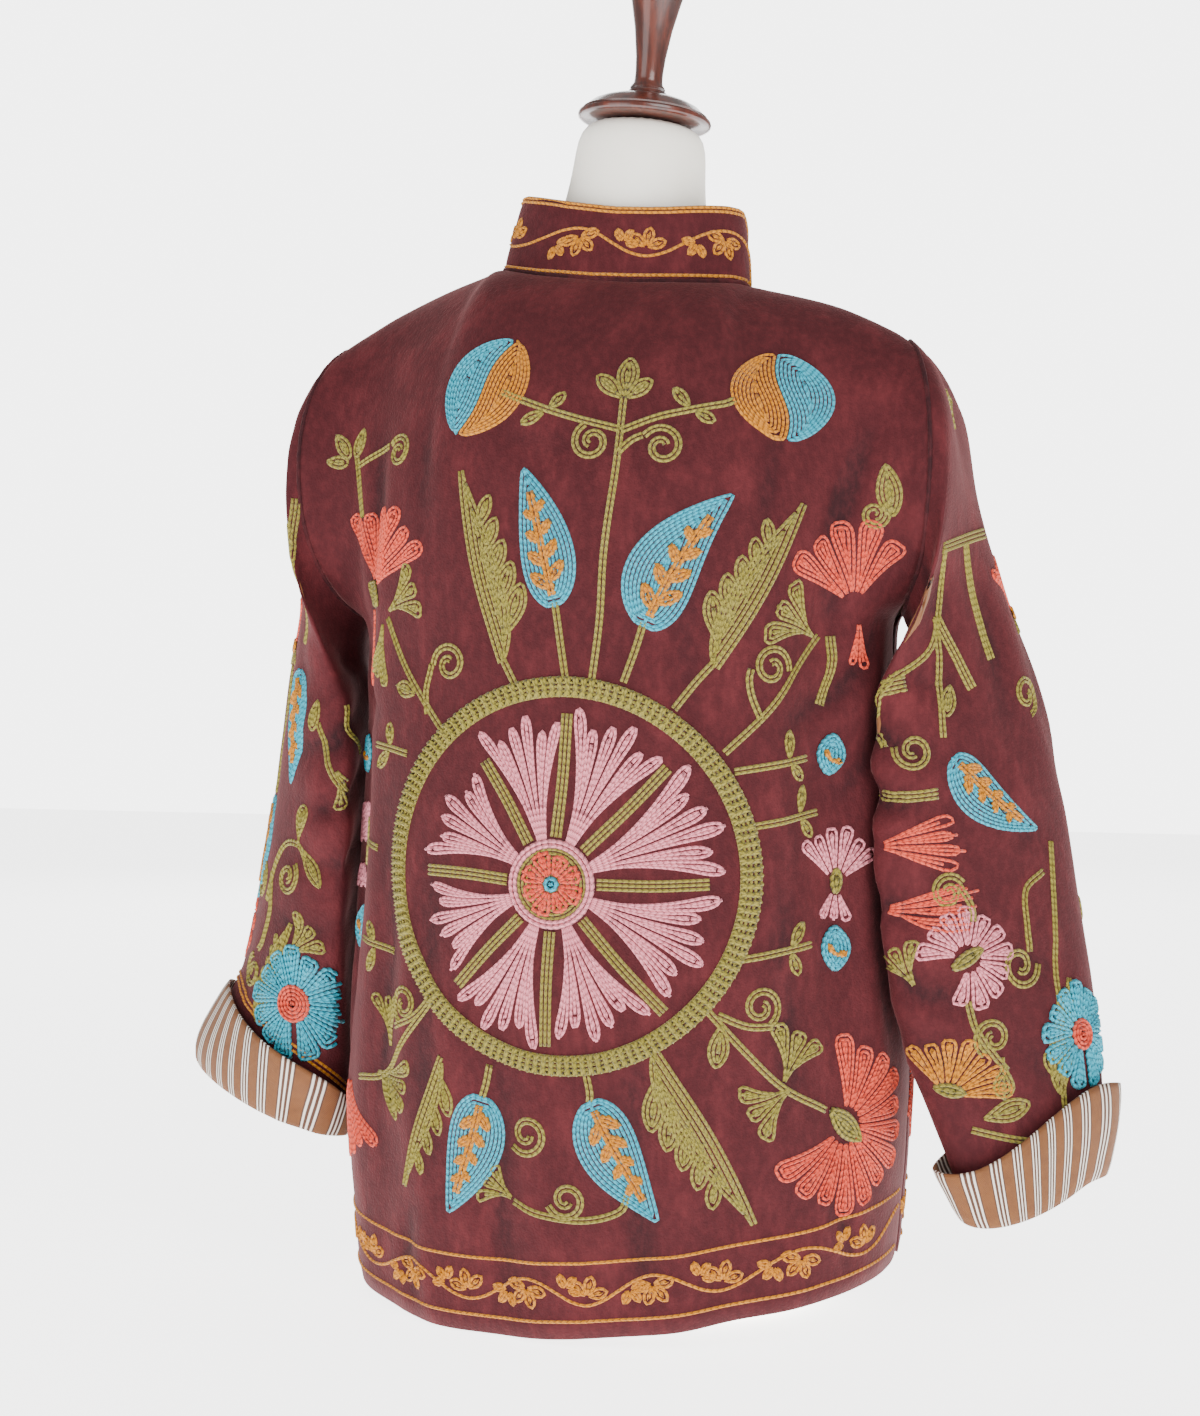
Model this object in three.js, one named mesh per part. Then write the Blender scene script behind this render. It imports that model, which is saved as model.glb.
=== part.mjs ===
// A short velvet suzani jacket on a countertop dress form, in millimetres, +Z up, back towards +Y.
// The origin is the middle of the form's flat base. The wearer's left is +X.
// Each cloth piece is a real wall: an outer face worked out as a grid of points, an inner face one
// cloth thickness inside it, and a rim that closes the two.
import * as THREE from "three";
import { mergeVertices } from "three/addons/utils/BufferGeometryUtils.js";

// Driving sizes of the cut.
const CLOTH = 2.2;
const CUFF_CLOTH = 2.6;
const SEAM_GAP = 0.4;
const UNDERARM_Z = 440;
const HEM_Z = { left: 12, right: 32, dip: 18 };
const SHOULDER_TIP = { x: 183, y: 4, z: 620 };
const NECK_POINT = { x: 83, y: 8, z: 663 };
const NECK_BACK = { y: 62, z: 653 };
const NECK_FRONT = { x: 9, y: -76, z: 592 };
const ARMHOLE_HALF_DEPTH = 62;
const ARMHOLE_BULGE = 28;
const NECK_SHARE = 0.42;
const BOXY = 2.3;
const SLEEVE_LENGTH = 500;

// How the chest and back round over to the shoulder line: near the middle, and further out.
const FALL = { at: 2.5, middle: 1.3, side: 2 };
const SHOULDER_INWARD = 1.3;
const ARMHOLE_PULL = 6;
const FRONT_EDGE_SHARE = NECK_FRONT.x / 282;

// How many strips each piece is made of, up and across.
const BODY_ROWS = 12;
const ARMHOLE_ROWS = 10;
const NECK_COLUMNS = 7;
const SHOULDER_COLUMNS = 8;
const SLEEVE_COLUMNS = 2 * ARMHOLE_ROWS;

// The body's outer face at a few heights: half width, and depth behind and before the side seams.
const BODY_SECTIONS = [
  { z: 0, halfWidth: 176, back: 138, front: 126 },
  { z: 70, halfWidth: 183, back: 142, front: 129 },
  { z: 170, halfWidth: 188, back: 143, front: 131 },
  { z: 300, halfWidth: 182, back: 139, front: 131 },
  { z: 390, halfWidth: 177, back: 135, front: 130 },
  { z: 440, halfWidth: 176, back: 134, front: 130 },
];

// The largest soft folds of the body: where round the body (degrees from the back, + towards the
// wearer's left), the heights between which it runs, how deep and how wide it is.
const BODY_FOLDS = [
  { at: -63, low: 60, high: 560, depth: 17, spread: 9 },
  { at: -41, low: -90, high: 250, depth: 8, spread: 9 },
  { at: -13, low: -90, high: 170, depth: 5, spread: 8 },
  { at: 20, low: -90, high: 210, depth: 6, spread: 9 },
  { at: 50, low: -60, high: 350, depth: 9, spread: 8 },
  { at: 70, low: 120, high: 520, depth: 13, spread: 8 },
  { at: 118, low: -60, high: 420, depth: 11, spread: 9 },
  { at: 147, low: -90, high: 280, depth: 7, spread: 8 },
  { at: -122, low: -40, high: 450, depth: 12, spread: 9 },
  { at: -151, low: -90, high: 240, depth: 8, spread: 8 },
];

// A sleeve as pairs of points, above and below, seen from the back: the outer line from the
// shoulder down the arm, the inner line from the underarm, and half its depth from back to front.
const SLEEVE_SECTIONS = [
  { outX: 183, outZ: 620, inX: 176, inZ: 440, half: 62, bulge: 1 },
  { outX: 198, outZ: 606, inX: 182, inZ: 435, half: 63, bulge: 0.9 },
  { outX: 211, outZ: 580, inX: 187, inZ: 427, half: 64, bulge: 0.66 },
  { outX: 222, outZ: 540, inX: 190, inZ: 414, half: 64, bulge: 0.4 },
  { outX: 233, outZ: 497, inX: 192, inZ: 396, half: 63, bulge: 0.2 },
  { outX: 244, outZ: 455, inX: 194, inZ: 372, half: 65, bulge: 0 },
  { outX: 257, outZ: 412, inX: 196, inZ: 344, half: 69, bulge: 0 },
  { outX: 267, outZ: 370, inX: 198, inZ: 314, half: 72, bulge: 0 },
  { outX: 277, outZ: 325, inX: 199, inZ: 280, half: 73, bulge: 0 },
  { outX: 285, outZ: 280, inX: 204, inZ: 245, half: 72, bulge: 0 },
  { outX: 295, outZ: 235, inX: 209, inZ: 208, half: 70, bulge: 0 },
  { outX: 304, outZ: 190, inX: 215, inZ: 170, half: 68, bulge: 0 },
  { outX: 311, outZ: 150, inX: 221, inZ: 135, half: 65, bulge: 0 },
  { outX: 316, outZ: 112, inX: 227, inZ: 104, half: 62, bulge: 0 },
  { outX: 314, outZ: 78, inX: 232, inZ: 74, half: 59, bulge: 0 },
];

// Folds of a sleeve: where along it (0 shoulder to 1 cuff) and round it (degrees, 0 inside, 90 back,
// 180 outside), how much the fold climbs round the arm, and its depth and widths.
const SLEEVE_FOLDS = [
  { along: 0.3, round: 60, climb: 0.22, depth: 7, width: 0.035, spread: 55 },
  { along: 0.42, round: 110, climb: -0.2, depth: 5, width: 0.03, spread: 50 },
  { along: 0.53, round: 70, climb: 0.15, depth: 6, width: 0.032, spread: 45 },
  { along: 0.66, round: 120, climb: -0.12, depth: 4, width: 0.03, spread: 45 },
  { along: 0.8, round: 85, climb: 0.12, depth: 4, width: 0.03, spread: 40 },
  { along: 0.36, round: 285, climb: -0.18, depth: 6, width: 0.035, spread: 50 },
  { along: 0.55, round: 265, climb: 0.16, depth: 6, width: 0.034, spread: 50 },
  { along: 0.74, round: 280, climb: -0.14, depth: 4, width: 0.03, spread: 45 },
];

// What differs between the two arms: how far the end of the sleeve is lifted inside and outside, how
// far it is swung away from the body and forward, how far the flattened sleeve is turned round the
// body, how the end spreads outside, narrows from the inside and hangs down behind, and the height
// and the flare of the turned-back cuff inside, behind, outside and before the arm.
const ARMS = {
  right: {
    lift: { inside: 22, outside: 14 },
    swing: -18, forward: -10, twist: 36, skirt: 0, narrow: 20, slim: 0.24, dip: 26,
    cuff: [22, 32, 60, 50],
    flare: [3, 8, 6, 5],
  },
  left: {
    lift: { inside: 18, outside: 58 },
    swing: -30, forward: 8, twist: 24, skirt: 34, narrow: 0, slim: 0.04, dip: 8,
    cuff: [26, 44, 56, 48],
    flare: [3, 10, 4, 5],
  },
};

// The collar stands on the neckline and leans in a little.
const COLLAR_HEIGHT = { back: 47, front: 36 };
const COLLAR_LEAN = 8;
const COLLAR_FRONT_LEAN = 10;
const COLLAR_ROWS = 3;

// The dress form: its sections below the shoulders, the slope of its shoulders is the jacket's own.
const FORM_CLEARANCE = 1.3;
const FORM_SECTIONS = [
  { z: 0, halfWidth: 122, back: 80, front: 78 },
  { z: 9, halfWidth: 131, back: 89, front: 86 },
  { z: 34, halfWidth: 143, back: 100, front: 96 },
  { z: 80, halfWidth: 149, back: 107, front: 102 },
  { z: 150, halfWidth: 139, back: 98, front: 93 },
  { z: 250, halfWidth: 117, back: 84, front: 82 },
  { z: 340, halfWidth: 128, back: 90, front: 96 },
  { z: 430, halfWidth: 144, back: 100, front: 108 },
  { z: 500, halfWidth: 152, back: 102, front: 98 },
  { z: 550, halfWidth: 158, back: 96, front: 82 },
  { z: 590, halfWidth: 162, back: 88, front: 60 },
  { z: 615, halfWidth: 162, back: 80, front: 50 },
];
const FORM_SHOULDERS = [
  { x: 157, back: 71, front: 44 },
  { x: 149, back: 65, front: 41 },
  { x: 138, back: 58, front: 36 },
  { x: 123, back: 50, front: 30 },
  { x: 106, back: 43, front: 22 },
  { x: 87, back: 22, front: 12 },
];
const FORM_NECK = [
  { z: 659.5, halfWidth: 66, back: 45, front: 24 },
  { z: 669, halfWidth: 58, back: 45, front: 37 },
  { z: 684, halfWidth: 54, back: 45, front: 44 },
  { z: 706, halfWidth: 47, back: 42, front: 44 },
  { z: 735, halfWidth: 43, back: 41, front: 41 },
  { z: 763, halfWidth: 42, back: 40, front: 40 },
];
const NECK_CENTRE_Y = 2;
const NECK_TOP_Z = 763;

// The neck and the collar lean towards the wearer's right, and the shoulders follow them a little:
// the degrees, the heights over which the lean sets in, where it starts to carry the neck sideways,
// and the share of it that the right shoulder doesn't follow.
const LEAN = { degrees: 6, from: 470, full: 650, sideways: 650, rightKeeps: 0.6 };

// The turned wooden cap and finial, as radius and height above the top of the neck.
const CAP_PROFILE = [
  { r: 0, h: 0.4 },
  { r: 40, h: 0.4 },
  { r: 43, h: 1.6 },
  { r: 44, h: 4 },
  { r: 41, h: 8 },
  { r: 35, h: 13 },
  { r: 24, h: 17 },
  { r: 14, h: 19 },
  { r: 0, h: 19 },
];
const FINIAL_PROFILE = [
  { r: 0, h: 19.4 },
  { r: 13, h: 19.4 },
  { r: 12.5, h: 22 },
  { r: 10, h: 25 },
  { r: 9.3, h: 31 },
  { r: 10, h: 44 },
  { r: 12.5, h: 62 },
  { r: 16, h: 78 },
  { r: 19.5, h: 92 },
  { r: 22, h: 106 },
  { r: 22.5, h: 118 },
  { r: 20, h: 131 },
  { r: 14, h: 142 },
  { r: 6.5, h: 148 },
  { r: 0, h: 149.5 },
];

const CAP_SIDES = 28;
const FINIAL_SIDES = 20;

const VELVET = new THREE.MeshStandardMaterial({ color: "#4f1a26", roughness: 0.9, metalness: 0 });
const LINING = new THREE.MeshStandardMaterial({ color: "#8a6244", roughness: 0.85, metalness: 0 });
const JERSEY = new THREE.MeshStandardMaterial({ color: "#f1ead9", roughness: 0.8, metalness: 0 });
const WOOD = new THREE.MeshStandardMaterial({ color: "#5a2416", roughness: 0.35, metalness: 0 });

const vec = (x, y, z) => new THREE.Vector3(x, y, z);
const mix = (a, b, t) => a + (b - a) * t;
const clamp01 = (t) => Math.min(1, Math.max(0, t));
const smooth = (t) => clamp01(t) ** 2 * (3 - 2 * clamp01(t));
const radians = THREE.MathUtils.degToRad;
const clampTo = THREE.MathUtils.clamp;
const power = (v, p) => Math.sign(v) * Math.abs(v) ** p;

// A value read from a table of sections, by its position column, with smooth joins.
function fromTable(rows, key, at, column) {
  const last = rows.length - 1;
  if (at <= rows[0][key]) return rows[0][column];
  if (at >= rows[last][key]) return rows[last][column];
  const i = rows.findIndex((row, j) => j < last && at < rows[j + 1][key]);
  const before = rows[Math.max(0, i - 1)];
  const after = rows[Math.min(last, i + 2)];
  const [p, q] = [rows[i], rows[i + 1]];
  const span = q[key] - p[key];
  const t = (at - p[key]) / span;
  const slopeIn = ((q[column] - before[column]) / (q[key] - before[key])) * span;
  const slopeOut = ((after[column] - p[column]) / (after[key] - p[key])) * span;
  const t2 = t * t;
  const t3 = t2 * t;
  return (
    (2 * t3 - 3 * t2 + 1) * p[column] +
    (t3 - 2 * t2 + t) * slopeIn +
    (3 * t2 - 2 * t3) * q[column] +
    (t3 - t2) * slopeOut
  );
}

// A point carried along by the lean of the neck.
const leanAt = (z) => Math.max(0, z - LEAN.sideways) * Math.tan(radians(LEAN.degrees));
function leaned(point) {
  const share = smooth((point.z - LEAN.from) / (LEAN.full - LEAN.from));
  const beyond = smooth((-point.x - NECK_POINT.x) / (SHOULDER_TIP.x - NECK_POINT.x));
  const reach = clampTo(point.x, -NECK_POINT.x, NECK_POINT.x) * (1 - LEAN.rightKeeps * beyond);
  const rise = share * reach * Math.tan(radians(LEAN.degrees));
  return vec(point.x - leanAt(point.z), point.y, point.z + rise);
}

const bodySize = (z, column) => fromTable(BODY_SECTIONS, "z", z, column);
const bodyDepth = (z, towardsBack) => bodySize(z, towardsBack ? "back" : "front");

// The hem rides up on the wearer's right, and hangs lowest in the middle of the back and the front.
function hemZ(x) {
  const across = x / BODY_SECTIONS[0].halfWidth;
  return mix(HEM_Z.right, HEM_Z.left, smooth((1 + across) / 2)) - HEM_Z.dip * (1 - across ** 2);
}

// How far the folds pull the body's face in, at a place round it and a height.
function foldDepth(folds, degrees, z) {
  let depth = 0;
  for (const fold of folds) {
    const away = ((degrees - fold.at + 540) % 360) - 180;
    const across = Math.exp(-((away / fold.spread) ** 2));
    const middle = (fold.low + fold.high) / 2;
    const half = (fold.high - fold.low) / 2;
    const along = Math.max(0, 1 - ((z - middle) / half) ** 2);
    depth += fold.depth * across * along;
  }
  return depth;
}

// The top edge of a back or front panel, at a share of its half width: neckline, then shoulder.
function topEdge(share, towardsBack) {
  if (share <= NECK_SHARE) {
    const turn = (share / NECK_SHARE) * (Math.PI / 2);
    if (towardsBack)
      return vec(
        NECK_POINT.x * Math.sin(turn),
        mix(NECK_POINT.y, NECK_BACK.y, Math.cos(turn)),
        mix(NECK_POINT.z, NECK_BACK.z, Math.cos(turn) ** 2),
      );
    return vec(
      mix(NECK_FRONT.x, NECK_POINT.x, Math.sin(turn)),
      mix(NECK_POINT.y, NECK_FRONT.y, Math.cos(turn)),
      mix(NECK_POINT.z, NECK_FRONT.z, Math.cos(turn) ** 1.5),
    );
  }
  const k = (share - NECK_SHARE) / (1 - NECK_SHARE);
  return vec(
    mix(NECK_POINT.x, SHOULDER_TIP.x, k),
    mix(NECK_POINT.y, SHOULDER_TIP.y, k),
    shoulderZ(mix(NECK_POINT.x, SHOULDER_TIP.x, k)),
  );
}

// The height of the shoulder line: nearly straight, and rounding down towards the arm.
const SHOULDER_STRAIGHT = 0.62;
const shoulderShare = (x) => (x - NECK_POINT.x) / (SHOULDER_TIP.x - NECK_POINT.x);
function shoulderZ(x) {
  const k = shoulderShare(x);
  return mix(NECK_POINT.z, SHOULDER_TIP.z, SHOULDER_STRAIGHT * k + (1 - SHOULDER_STRAIGHT) * k ** 3);
}

// The line through the middle of the armhole, which leans back a little to the shoulder tip, and
// how far the armhole has opened at a fraction of the way up.
const edgeLine = (up) => SHOULDER_TIP.y * up;
const armholeRound = (up) => 2 * Math.sqrt(Math.max(0, up * (1 - up)));

// The armhole's edge, at a fraction of the way up from the underarm to the shoulder tip.
function armholeEdge(up) {
  return {
    x: mix(bodySize(UNDERARM_Z, "halfWidth"), SHOULDER_TIP.x, up) + ARMHOLE_BULGE * armholeRound(up),
    deep: ARMHOLE_HALF_DEPTH * armholeRound(up),
    middleY: edgeLine(up),
    z: mix(UNDERARM_Z, SHOULDER_TIP.z, up),
  };
}

// The columns of half a panel, with one at the neck point, where neckline and shoulder meet.
const SHARES = [];
for (let j = 0; j < NECK_COLUMNS; j++) SHARES.push((NECK_SHARE * j) / NECK_COLUMNS);
for (let j = 0; j <= SHOULDER_COLUMNS; j++) SHARES.push(mix(NECK_SHARE, 1, j / SHOULDER_COLUMNS));

// Heights of the rows of a panel: even strips to the underarm, then strips that crowd at both ends
// of the armhole so that its edge is round.
const BODY_STEPS = [];
for (let i = 0; i < BODY_ROWS; i++) BODY_STEPS.push({ below: i / BODY_ROWS, up: 0 });
for (let j = 0; j <= ARMHOLE_ROWS; j++)
  BODY_STEPS.push({ below: 1, up: (1 - Math.cos((Math.PI * j) / ARMHOLE_ROWS)) / 2 });

// A point on the outer face of the body. The share runs from the middle (0) to the side seam (1).
function bodyPoint(share, side, towardsBack, step) {
  const facing = towardsBack ? 1 : -1;
  const start = towardsBack ? 0 : FRONT_EDGE_SHARE;
  const turn = mix(start, 1, share) * (Math.PI / 2);
  const baseX = (z) => bodySize(z, "halfWidth") * power(Math.sin(turn), 2 / BOXY);
  const baseY = (z) => bodyDepth(z, towardsBack) * power(Math.max(0, Math.cos(turn)), 2 / BOXY);
  if (step.up === 0) {
    const low = hemZ(side * baseX(0));
    const z = mix(low, UNDERARM_Z, step.below);
    return withBodyFolds(vec(side * baseX(z), facing * baseY(z), z));
  }
  const top = topEdge(share, towardsBack);
  const z = mix(UNDERARM_Z, top.z, step.up);
  if (share === 1) {
    const edge = armholeEdge(step.up);
    return vec(side * edge.x, facing * edge.deep + edge.middleY, edge.z);
  }
  const roundness = mix(FALL.middle, FALL.side, smooth(share / NECK_SHARE));
  const fall = (1 - step.up ** FALL.at) ** (1 / roundness);
  const atEdge = share ** ARMHOLE_PULL * armholeRound(step.up);
  const x = mix(baseX(UNDERARM_Z), top.x, step.up ** SHOULDER_INWARD) + atEdge * ARMHOLE_BULGE;
  const y = mix(top.y, facing * baseY(UNDERARM_Z), fall) + facing * atEdge * ARMHOLE_HALF_DEPTH;
  return withBodyFolds(vec(side * x, y, z));
}

function withBodyFolds(point) {
  const degrees = THREE.MathUtils.radToDeg(Math.atan2(point.x, point.y));
  const out = Math.hypot(point.x, point.y);
  const pull = foldDepth(BODY_FOLDS, degrees, point.z) / out;
  return vec(point.x * (1 - pull), point.y * (1 - pull), point.z);
}

// The normal of a grid of points at one of them. The grid is closed round its columns or open.
function gridNormal(grid, i, j, closed) {
  const rows = grid.length;
  const columns = grid[0].length;
  const left = closed ? (j + columns - 1) % columns : Math.max(0, j - 1);
  const right = closed ? (j + 1) % columns : Math.min(columns - 1, j + 1);
  const along = vec(0, 0, 0).subVectors(grid[Math.min(rows - 1, i + 1)][j], grid[Math.max(0, i - 1)][j]);
  const across = vec(0, 0, 0).subVectors(grid[i][right], grid[i][left]);
  return across.cross(along).normalize();
}

// A wall of cloth from the grid of its outer face. The columns run so that across x along points
// out. The settle function may turn the normal of an edge point, so that two pieces meet squarely.
function clothWall(grid, thickness, closed, settle) {
  const rows = grid.length;
  const columns = grid[0].length;
  const inner = grid.map((line, i) =>
    line.map((point, j) => {
      const normal = gridNormal(grid, i, j, closed);
      if (settle) settle(normal, i, j);
      return point.clone().addScaledVector(normal.normalize(), -thickness);
    }),
  );
  const corners = [];
  const quad = (a, b, c, d) => corners.push(a, b, c, a, c, d);
  const spans = closed ? columns : columns - 1;
  for (let i = 0; i < rows - 1; i++)
    for (let j = 0; j < spans; j++) {
      const k = (j + 1) % columns;
      quad(grid[i][j], grid[i][k], grid[i + 1][k], grid[i + 1][j]);
      quad(inner[i][j], inner[i + 1][j], inner[i + 1][k], inner[i][k]);
    }
  for (let j = 0; j < spans; j++) {
    const k = (j + 1) % columns;
    quad(grid[0][j], inner[0][j], inner[0][k], grid[0][k]);
    const t = rows - 1;
    quad(grid[t][j], grid[t][k], inner[t][k], inner[t][j]);
  }
  if (!closed)
    for (let i = 0; i < rows - 1; i++) {
      const e = columns - 1;
      quad(grid[i][0], grid[i + 1][0], inner[i + 1][0], inner[i][0]);
      quad(grid[i][e], inner[i][e], inner[i + 1][e], grid[i + 1][e]);
    }
  return geometryOf(corners);
}

function geometryOf(corners) {
  const geometry = new THREE.BufferGeometry().setFromPoints(corners);
  const merged = mergeVertices(geometry, 1e-3);
  merged.computeVertexNormals();
  return merged;
}

// A solid through closed rings, with a flat or shallow lid at each end.
function loft(rings) {
  const corners = [];
  const count = rings[0].length;
  for (let i = 0; i < rings.length - 1; i++)
    for (let j = 0; j < count; j++) {
      const k = (j + 1) % count;
      const [a, b, c, d] = [rings[i][j], rings[i][k], rings[i + 1][k], rings[i + 1][j]];
      corners.push(a, b, c, a, c, d);
    }
  for (const [ring, up] of [[rings[0], false], [rings[rings.length - 1], true]]) {
    const middle = ring.reduce((sum, p) => sum.add(p), vec(0, 0, 0)).divideScalar(count);
    for (let j = 0; j < count; j++) {
      const k = (j + 1) % count;
      if (up) corners.push(ring[j], ring[k], middle);
      else corners.push(ring[k], ring[j], middle);
    }
  }
  return geometryOf(corners);
}

function piece(name, geometry, material) {
  const mesh = new THREE.Mesh(geometry, material);
  mesh.name = name;
  return mesh;
}

// At a side or shoulder seam the rim is square to the seam, so its normal has no part along Y. At
// the armhole the rim leans in towards the body.
function settleBody(shareAt, seamColumn, armholeSide) {
  return (normal, i, j) => {
    const up = BODY_STEPS[i].up;
    if (!seamColumn(j) && i < BODY_STEPS.length - 1) return;
    const towards = armholeSide(j);
    if (seamColumn(j) && up === 0) normal.set(towards, 0, 0);
    else if (seamColumn(j) && towards * normal.x < 0) normal.x = 0;
    if (i === BODY_STEPS.length - 1 && shareAt(j) >= NECK_SHARE) normal.y = 0;
  };
}

function makeBack() {
  const shares = [...SHARES].reverse().concat(SHARES.slice(1).map((s) => -s));
  const grid = BODY_STEPS.map((step) =>
    shares.map((s) => {
      const point = leaned(bodyPoint(Math.abs(s), s < 0 ? -1 : 1, true, step));
      point.y += SEAM_GAP / 2;
      return point;
    }),
  );
  const last = shares.length - 1;
  const settle = settleBody(
    (j) => Math.abs(shares[j]),
    (j) => j === 0 || j === last,
    (j) => Math.sign(shares[j]),
  );
  return piece("back", clothWall(grid, CLOTH, false, settle), VELVET);
}

function makeFront(name, side) {
  const shares = side < 0 ? [...SHARES].reverse() : SHARES;
  const grid = BODY_STEPS.map((step) =>
    shares.map((s) => {
      const point = leaned(bodyPoint(s, side, false, step));
      point.y -= SEAM_GAP / 2;
      return point;
    }),
  );
  const settle = settleBody(
    (j) => shares[j],
    (j) => shares[j] === 1,
    () => side,
  );
  return piece(name, clothWall(grid, CLOTH, false, settle), VELVET);
}

// The sleeve is pressed flat where it lies against the body's side.
const REST_GAP = 2;
function clearOfBody(x, y, z) {
  if (z > UNDERARM_Z) return { x, y };
  const wide = bodySize(z, "halfWidth") + REST_GAP;
  const deep = bodyDepth(z, y > 0) + REST_GAP;
  const inside = (x / wide) ** BOXY + (Math.abs(y) / deep) ** BOXY;
  if (inside >= 1) return { x, y };
  const grow = inside ** (-1 / BOXY);
  return { x: x * grow, y: y * grow };
}

// Where along a sleeve its lift begins, its swing is full, its turn begins and ends, the seam's lean
// has gone, its end begins to spread or narrow, and the first stretch that is sewn smooth.
const LIFT_FROM = 0.25;
const SWUNG_BY = 0.8;
const END_FROM = 0.76;
const TWIST = { from: 0.2, over: 0.25 };
const SEAM_LEAN_GONE = 0.3;
const SKIRT_FROM = 0.86;
const SEWN_SMOOTH = 0.02;
const FOLD_ACROSS = 0.6;
const NUMBERED_SECTIONS = SLEEVE_SECTIONS.map((row, number) => ({ ...row, number }));

// A point of the sleeve's outer face: along it from 0 to 1, round it from 0 (inside) by the back.
function sleevePoint(arm, side, along, turn, away) {
  const at = along * (SLEEVE_SECTIONS.length - 1);
  const value = (column) => fromTable(NUMBERED_SECTIONS, "number", at, column);
  const late = smooth((along - LIFT_FROM) / (1 - LIFT_FROM));
  const outside = (1 - Math.cos(turn)) / 2;
  const lift = mix(arm.lift.inside, arm.lift.outside, outside) * late;
  const out = arm.swing * smooth(along / SWUNG_BY);
  const flare = arm.skirt * smooth((along - SKIRT_FROM) / (1 - SKIRT_FROM));
  const end = smooth((along - END_FROM) / (1 - END_FROM));
  const fold = sleeveFold(along, THREE.MathUtils.radToDeg(turn));
  const upright = mix(value("inX") + arm.narrow * end, value("outX") + flare, outside) + out;
  const hang = arm.dip * end * Math.max(0, Math.sin(turn));
  const z = mix(value("inZ"), value("outZ"), outside) + lift - hang;
  const loose = along < SEWN_SMOOTH ? 0 : fold;
  const half = value("half") * (1 - arm.slim * end) + away - loose;
  const middleY = edgeLine(outside) * (1 - smooth(along / SEAM_LEAN_GONE)) - arm.forward * late;
  const bulge = ARMHOLE_BULGE * value("bulge") * Math.abs(Math.sin(turn));
  const spread = -Math.cos(turn) * (away - FOLD_ACROSS * loose);
  const tilt = Math.atan2(value("outZ") - value("inZ"), value("outX") - value("inX"));
  const twist = radians(arm.twist) * smooth((along - TWIST.from) / TWIST.over);
  const deep = half * Math.sin(turn);
  const x = upright + bulge + spread * Math.cos(tilt) - deep * Math.sin(twist);
  const placed = clearOfBody(x, middleY + deep * Math.cos(twist), z + spread * Math.sin(tilt));
  return leaned(vec(side * placed.x, placed.y, z + spread * Math.sin(tilt)));
}

function sleeveFold(along, degrees) {
  let depth = 0;
  for (const fold of SLEEVE_FOLDS) {
    const away = ((degrees - fold.round + 540) % 360) - 180;
    const centre = fold.along + (fold.climb * away) / 180;
    const across = Math.exp(-(((along - centre) / fold.width) ** 2));
    depth += fold.depth * across * Math.exp(-((away / fold.spread) ** 2));
  }
  return depth;
}

// The rows of a sleeve, closer together at the shoulder and in the folds.
const SLEEVE_STEPS = [
  0, 0.05, 0.11, 0.17, 0.24, 0.3, 0.36, 0.42, 0.48, 0.54, 0.6, 0.67, 0.74, 0.81, 0.88, 0.94, 1,
];
const SEAM_STEP = 0.6;

function makeSleeve(name, arm, side) {
  const grid = SLEEVE_STEPS.map((along) => {
    const ring = [];
    for (let j = 0; j < SLEEVE_COLUMNS; j++) {
      const turn = (2 * Math.PI * j) / SLEEVE_COLUMNS;
      const point = sleevePoint(arm, side, along, turn, 0);
      if (along === 0) point.x += side * SEAM_STEP;
      ring.push(point);
    }
    return side > 0 ? ring : ring.reverse();
  });
  const settle = (normal, i) => {
    if (i === 0 && side * normal.x > 0) normal.x = 0;
  };
  return piece(name, clothWall(grid, CLOTH, true, settle), VELVET);
}

// The turned-back cuff: the lining side of the sleeve's end, folded up outside it.
const CUFF_ROWS = 4;
const CUFF_OFF = CUFF_CLOTH + 2;
const CUFF_DROP = 1.2;

function makeCuff(name, arm, side) {
  const grid = [];
  for (let i = 0; i <= CUFF_ROWS; i++) {
    const up = i / CUFF_ROWS;
    const ring = [];
    for (let j = 0; j < SLEEVE_COLUMNS; j++) {
      const turn = (2 * Math.PI * j) / SLEEVE_COLUMNS;
      const along = 1 - (up * roundArm(arm.cuff, turn)) / SLEEVE_LENGTH;
      const point = sleevePoint(arm, side, along, turn, CUFF_OFF + up * roundArm(arm.flare, turn));
      point.z -= CUFF_DROP * (1 - up);
      ring.push(point);
    }
    grid.push(side > 0 ? ring : ring.reverse());
  }
  return piece(name, clothWall(grid.reverse(), CUFF_CLOTH, true), LINING);
}

// A value given inside, behind, outside and before the arm, eased between them.
function roundArm(values, turn) {
  const quarter = (turn / (Math.PI / 2)) % 4;
  const i = Math.floor(quarter);
  return mix(values[i], values[(i + 1) % 4], smooth(quarter - i));
}

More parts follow.
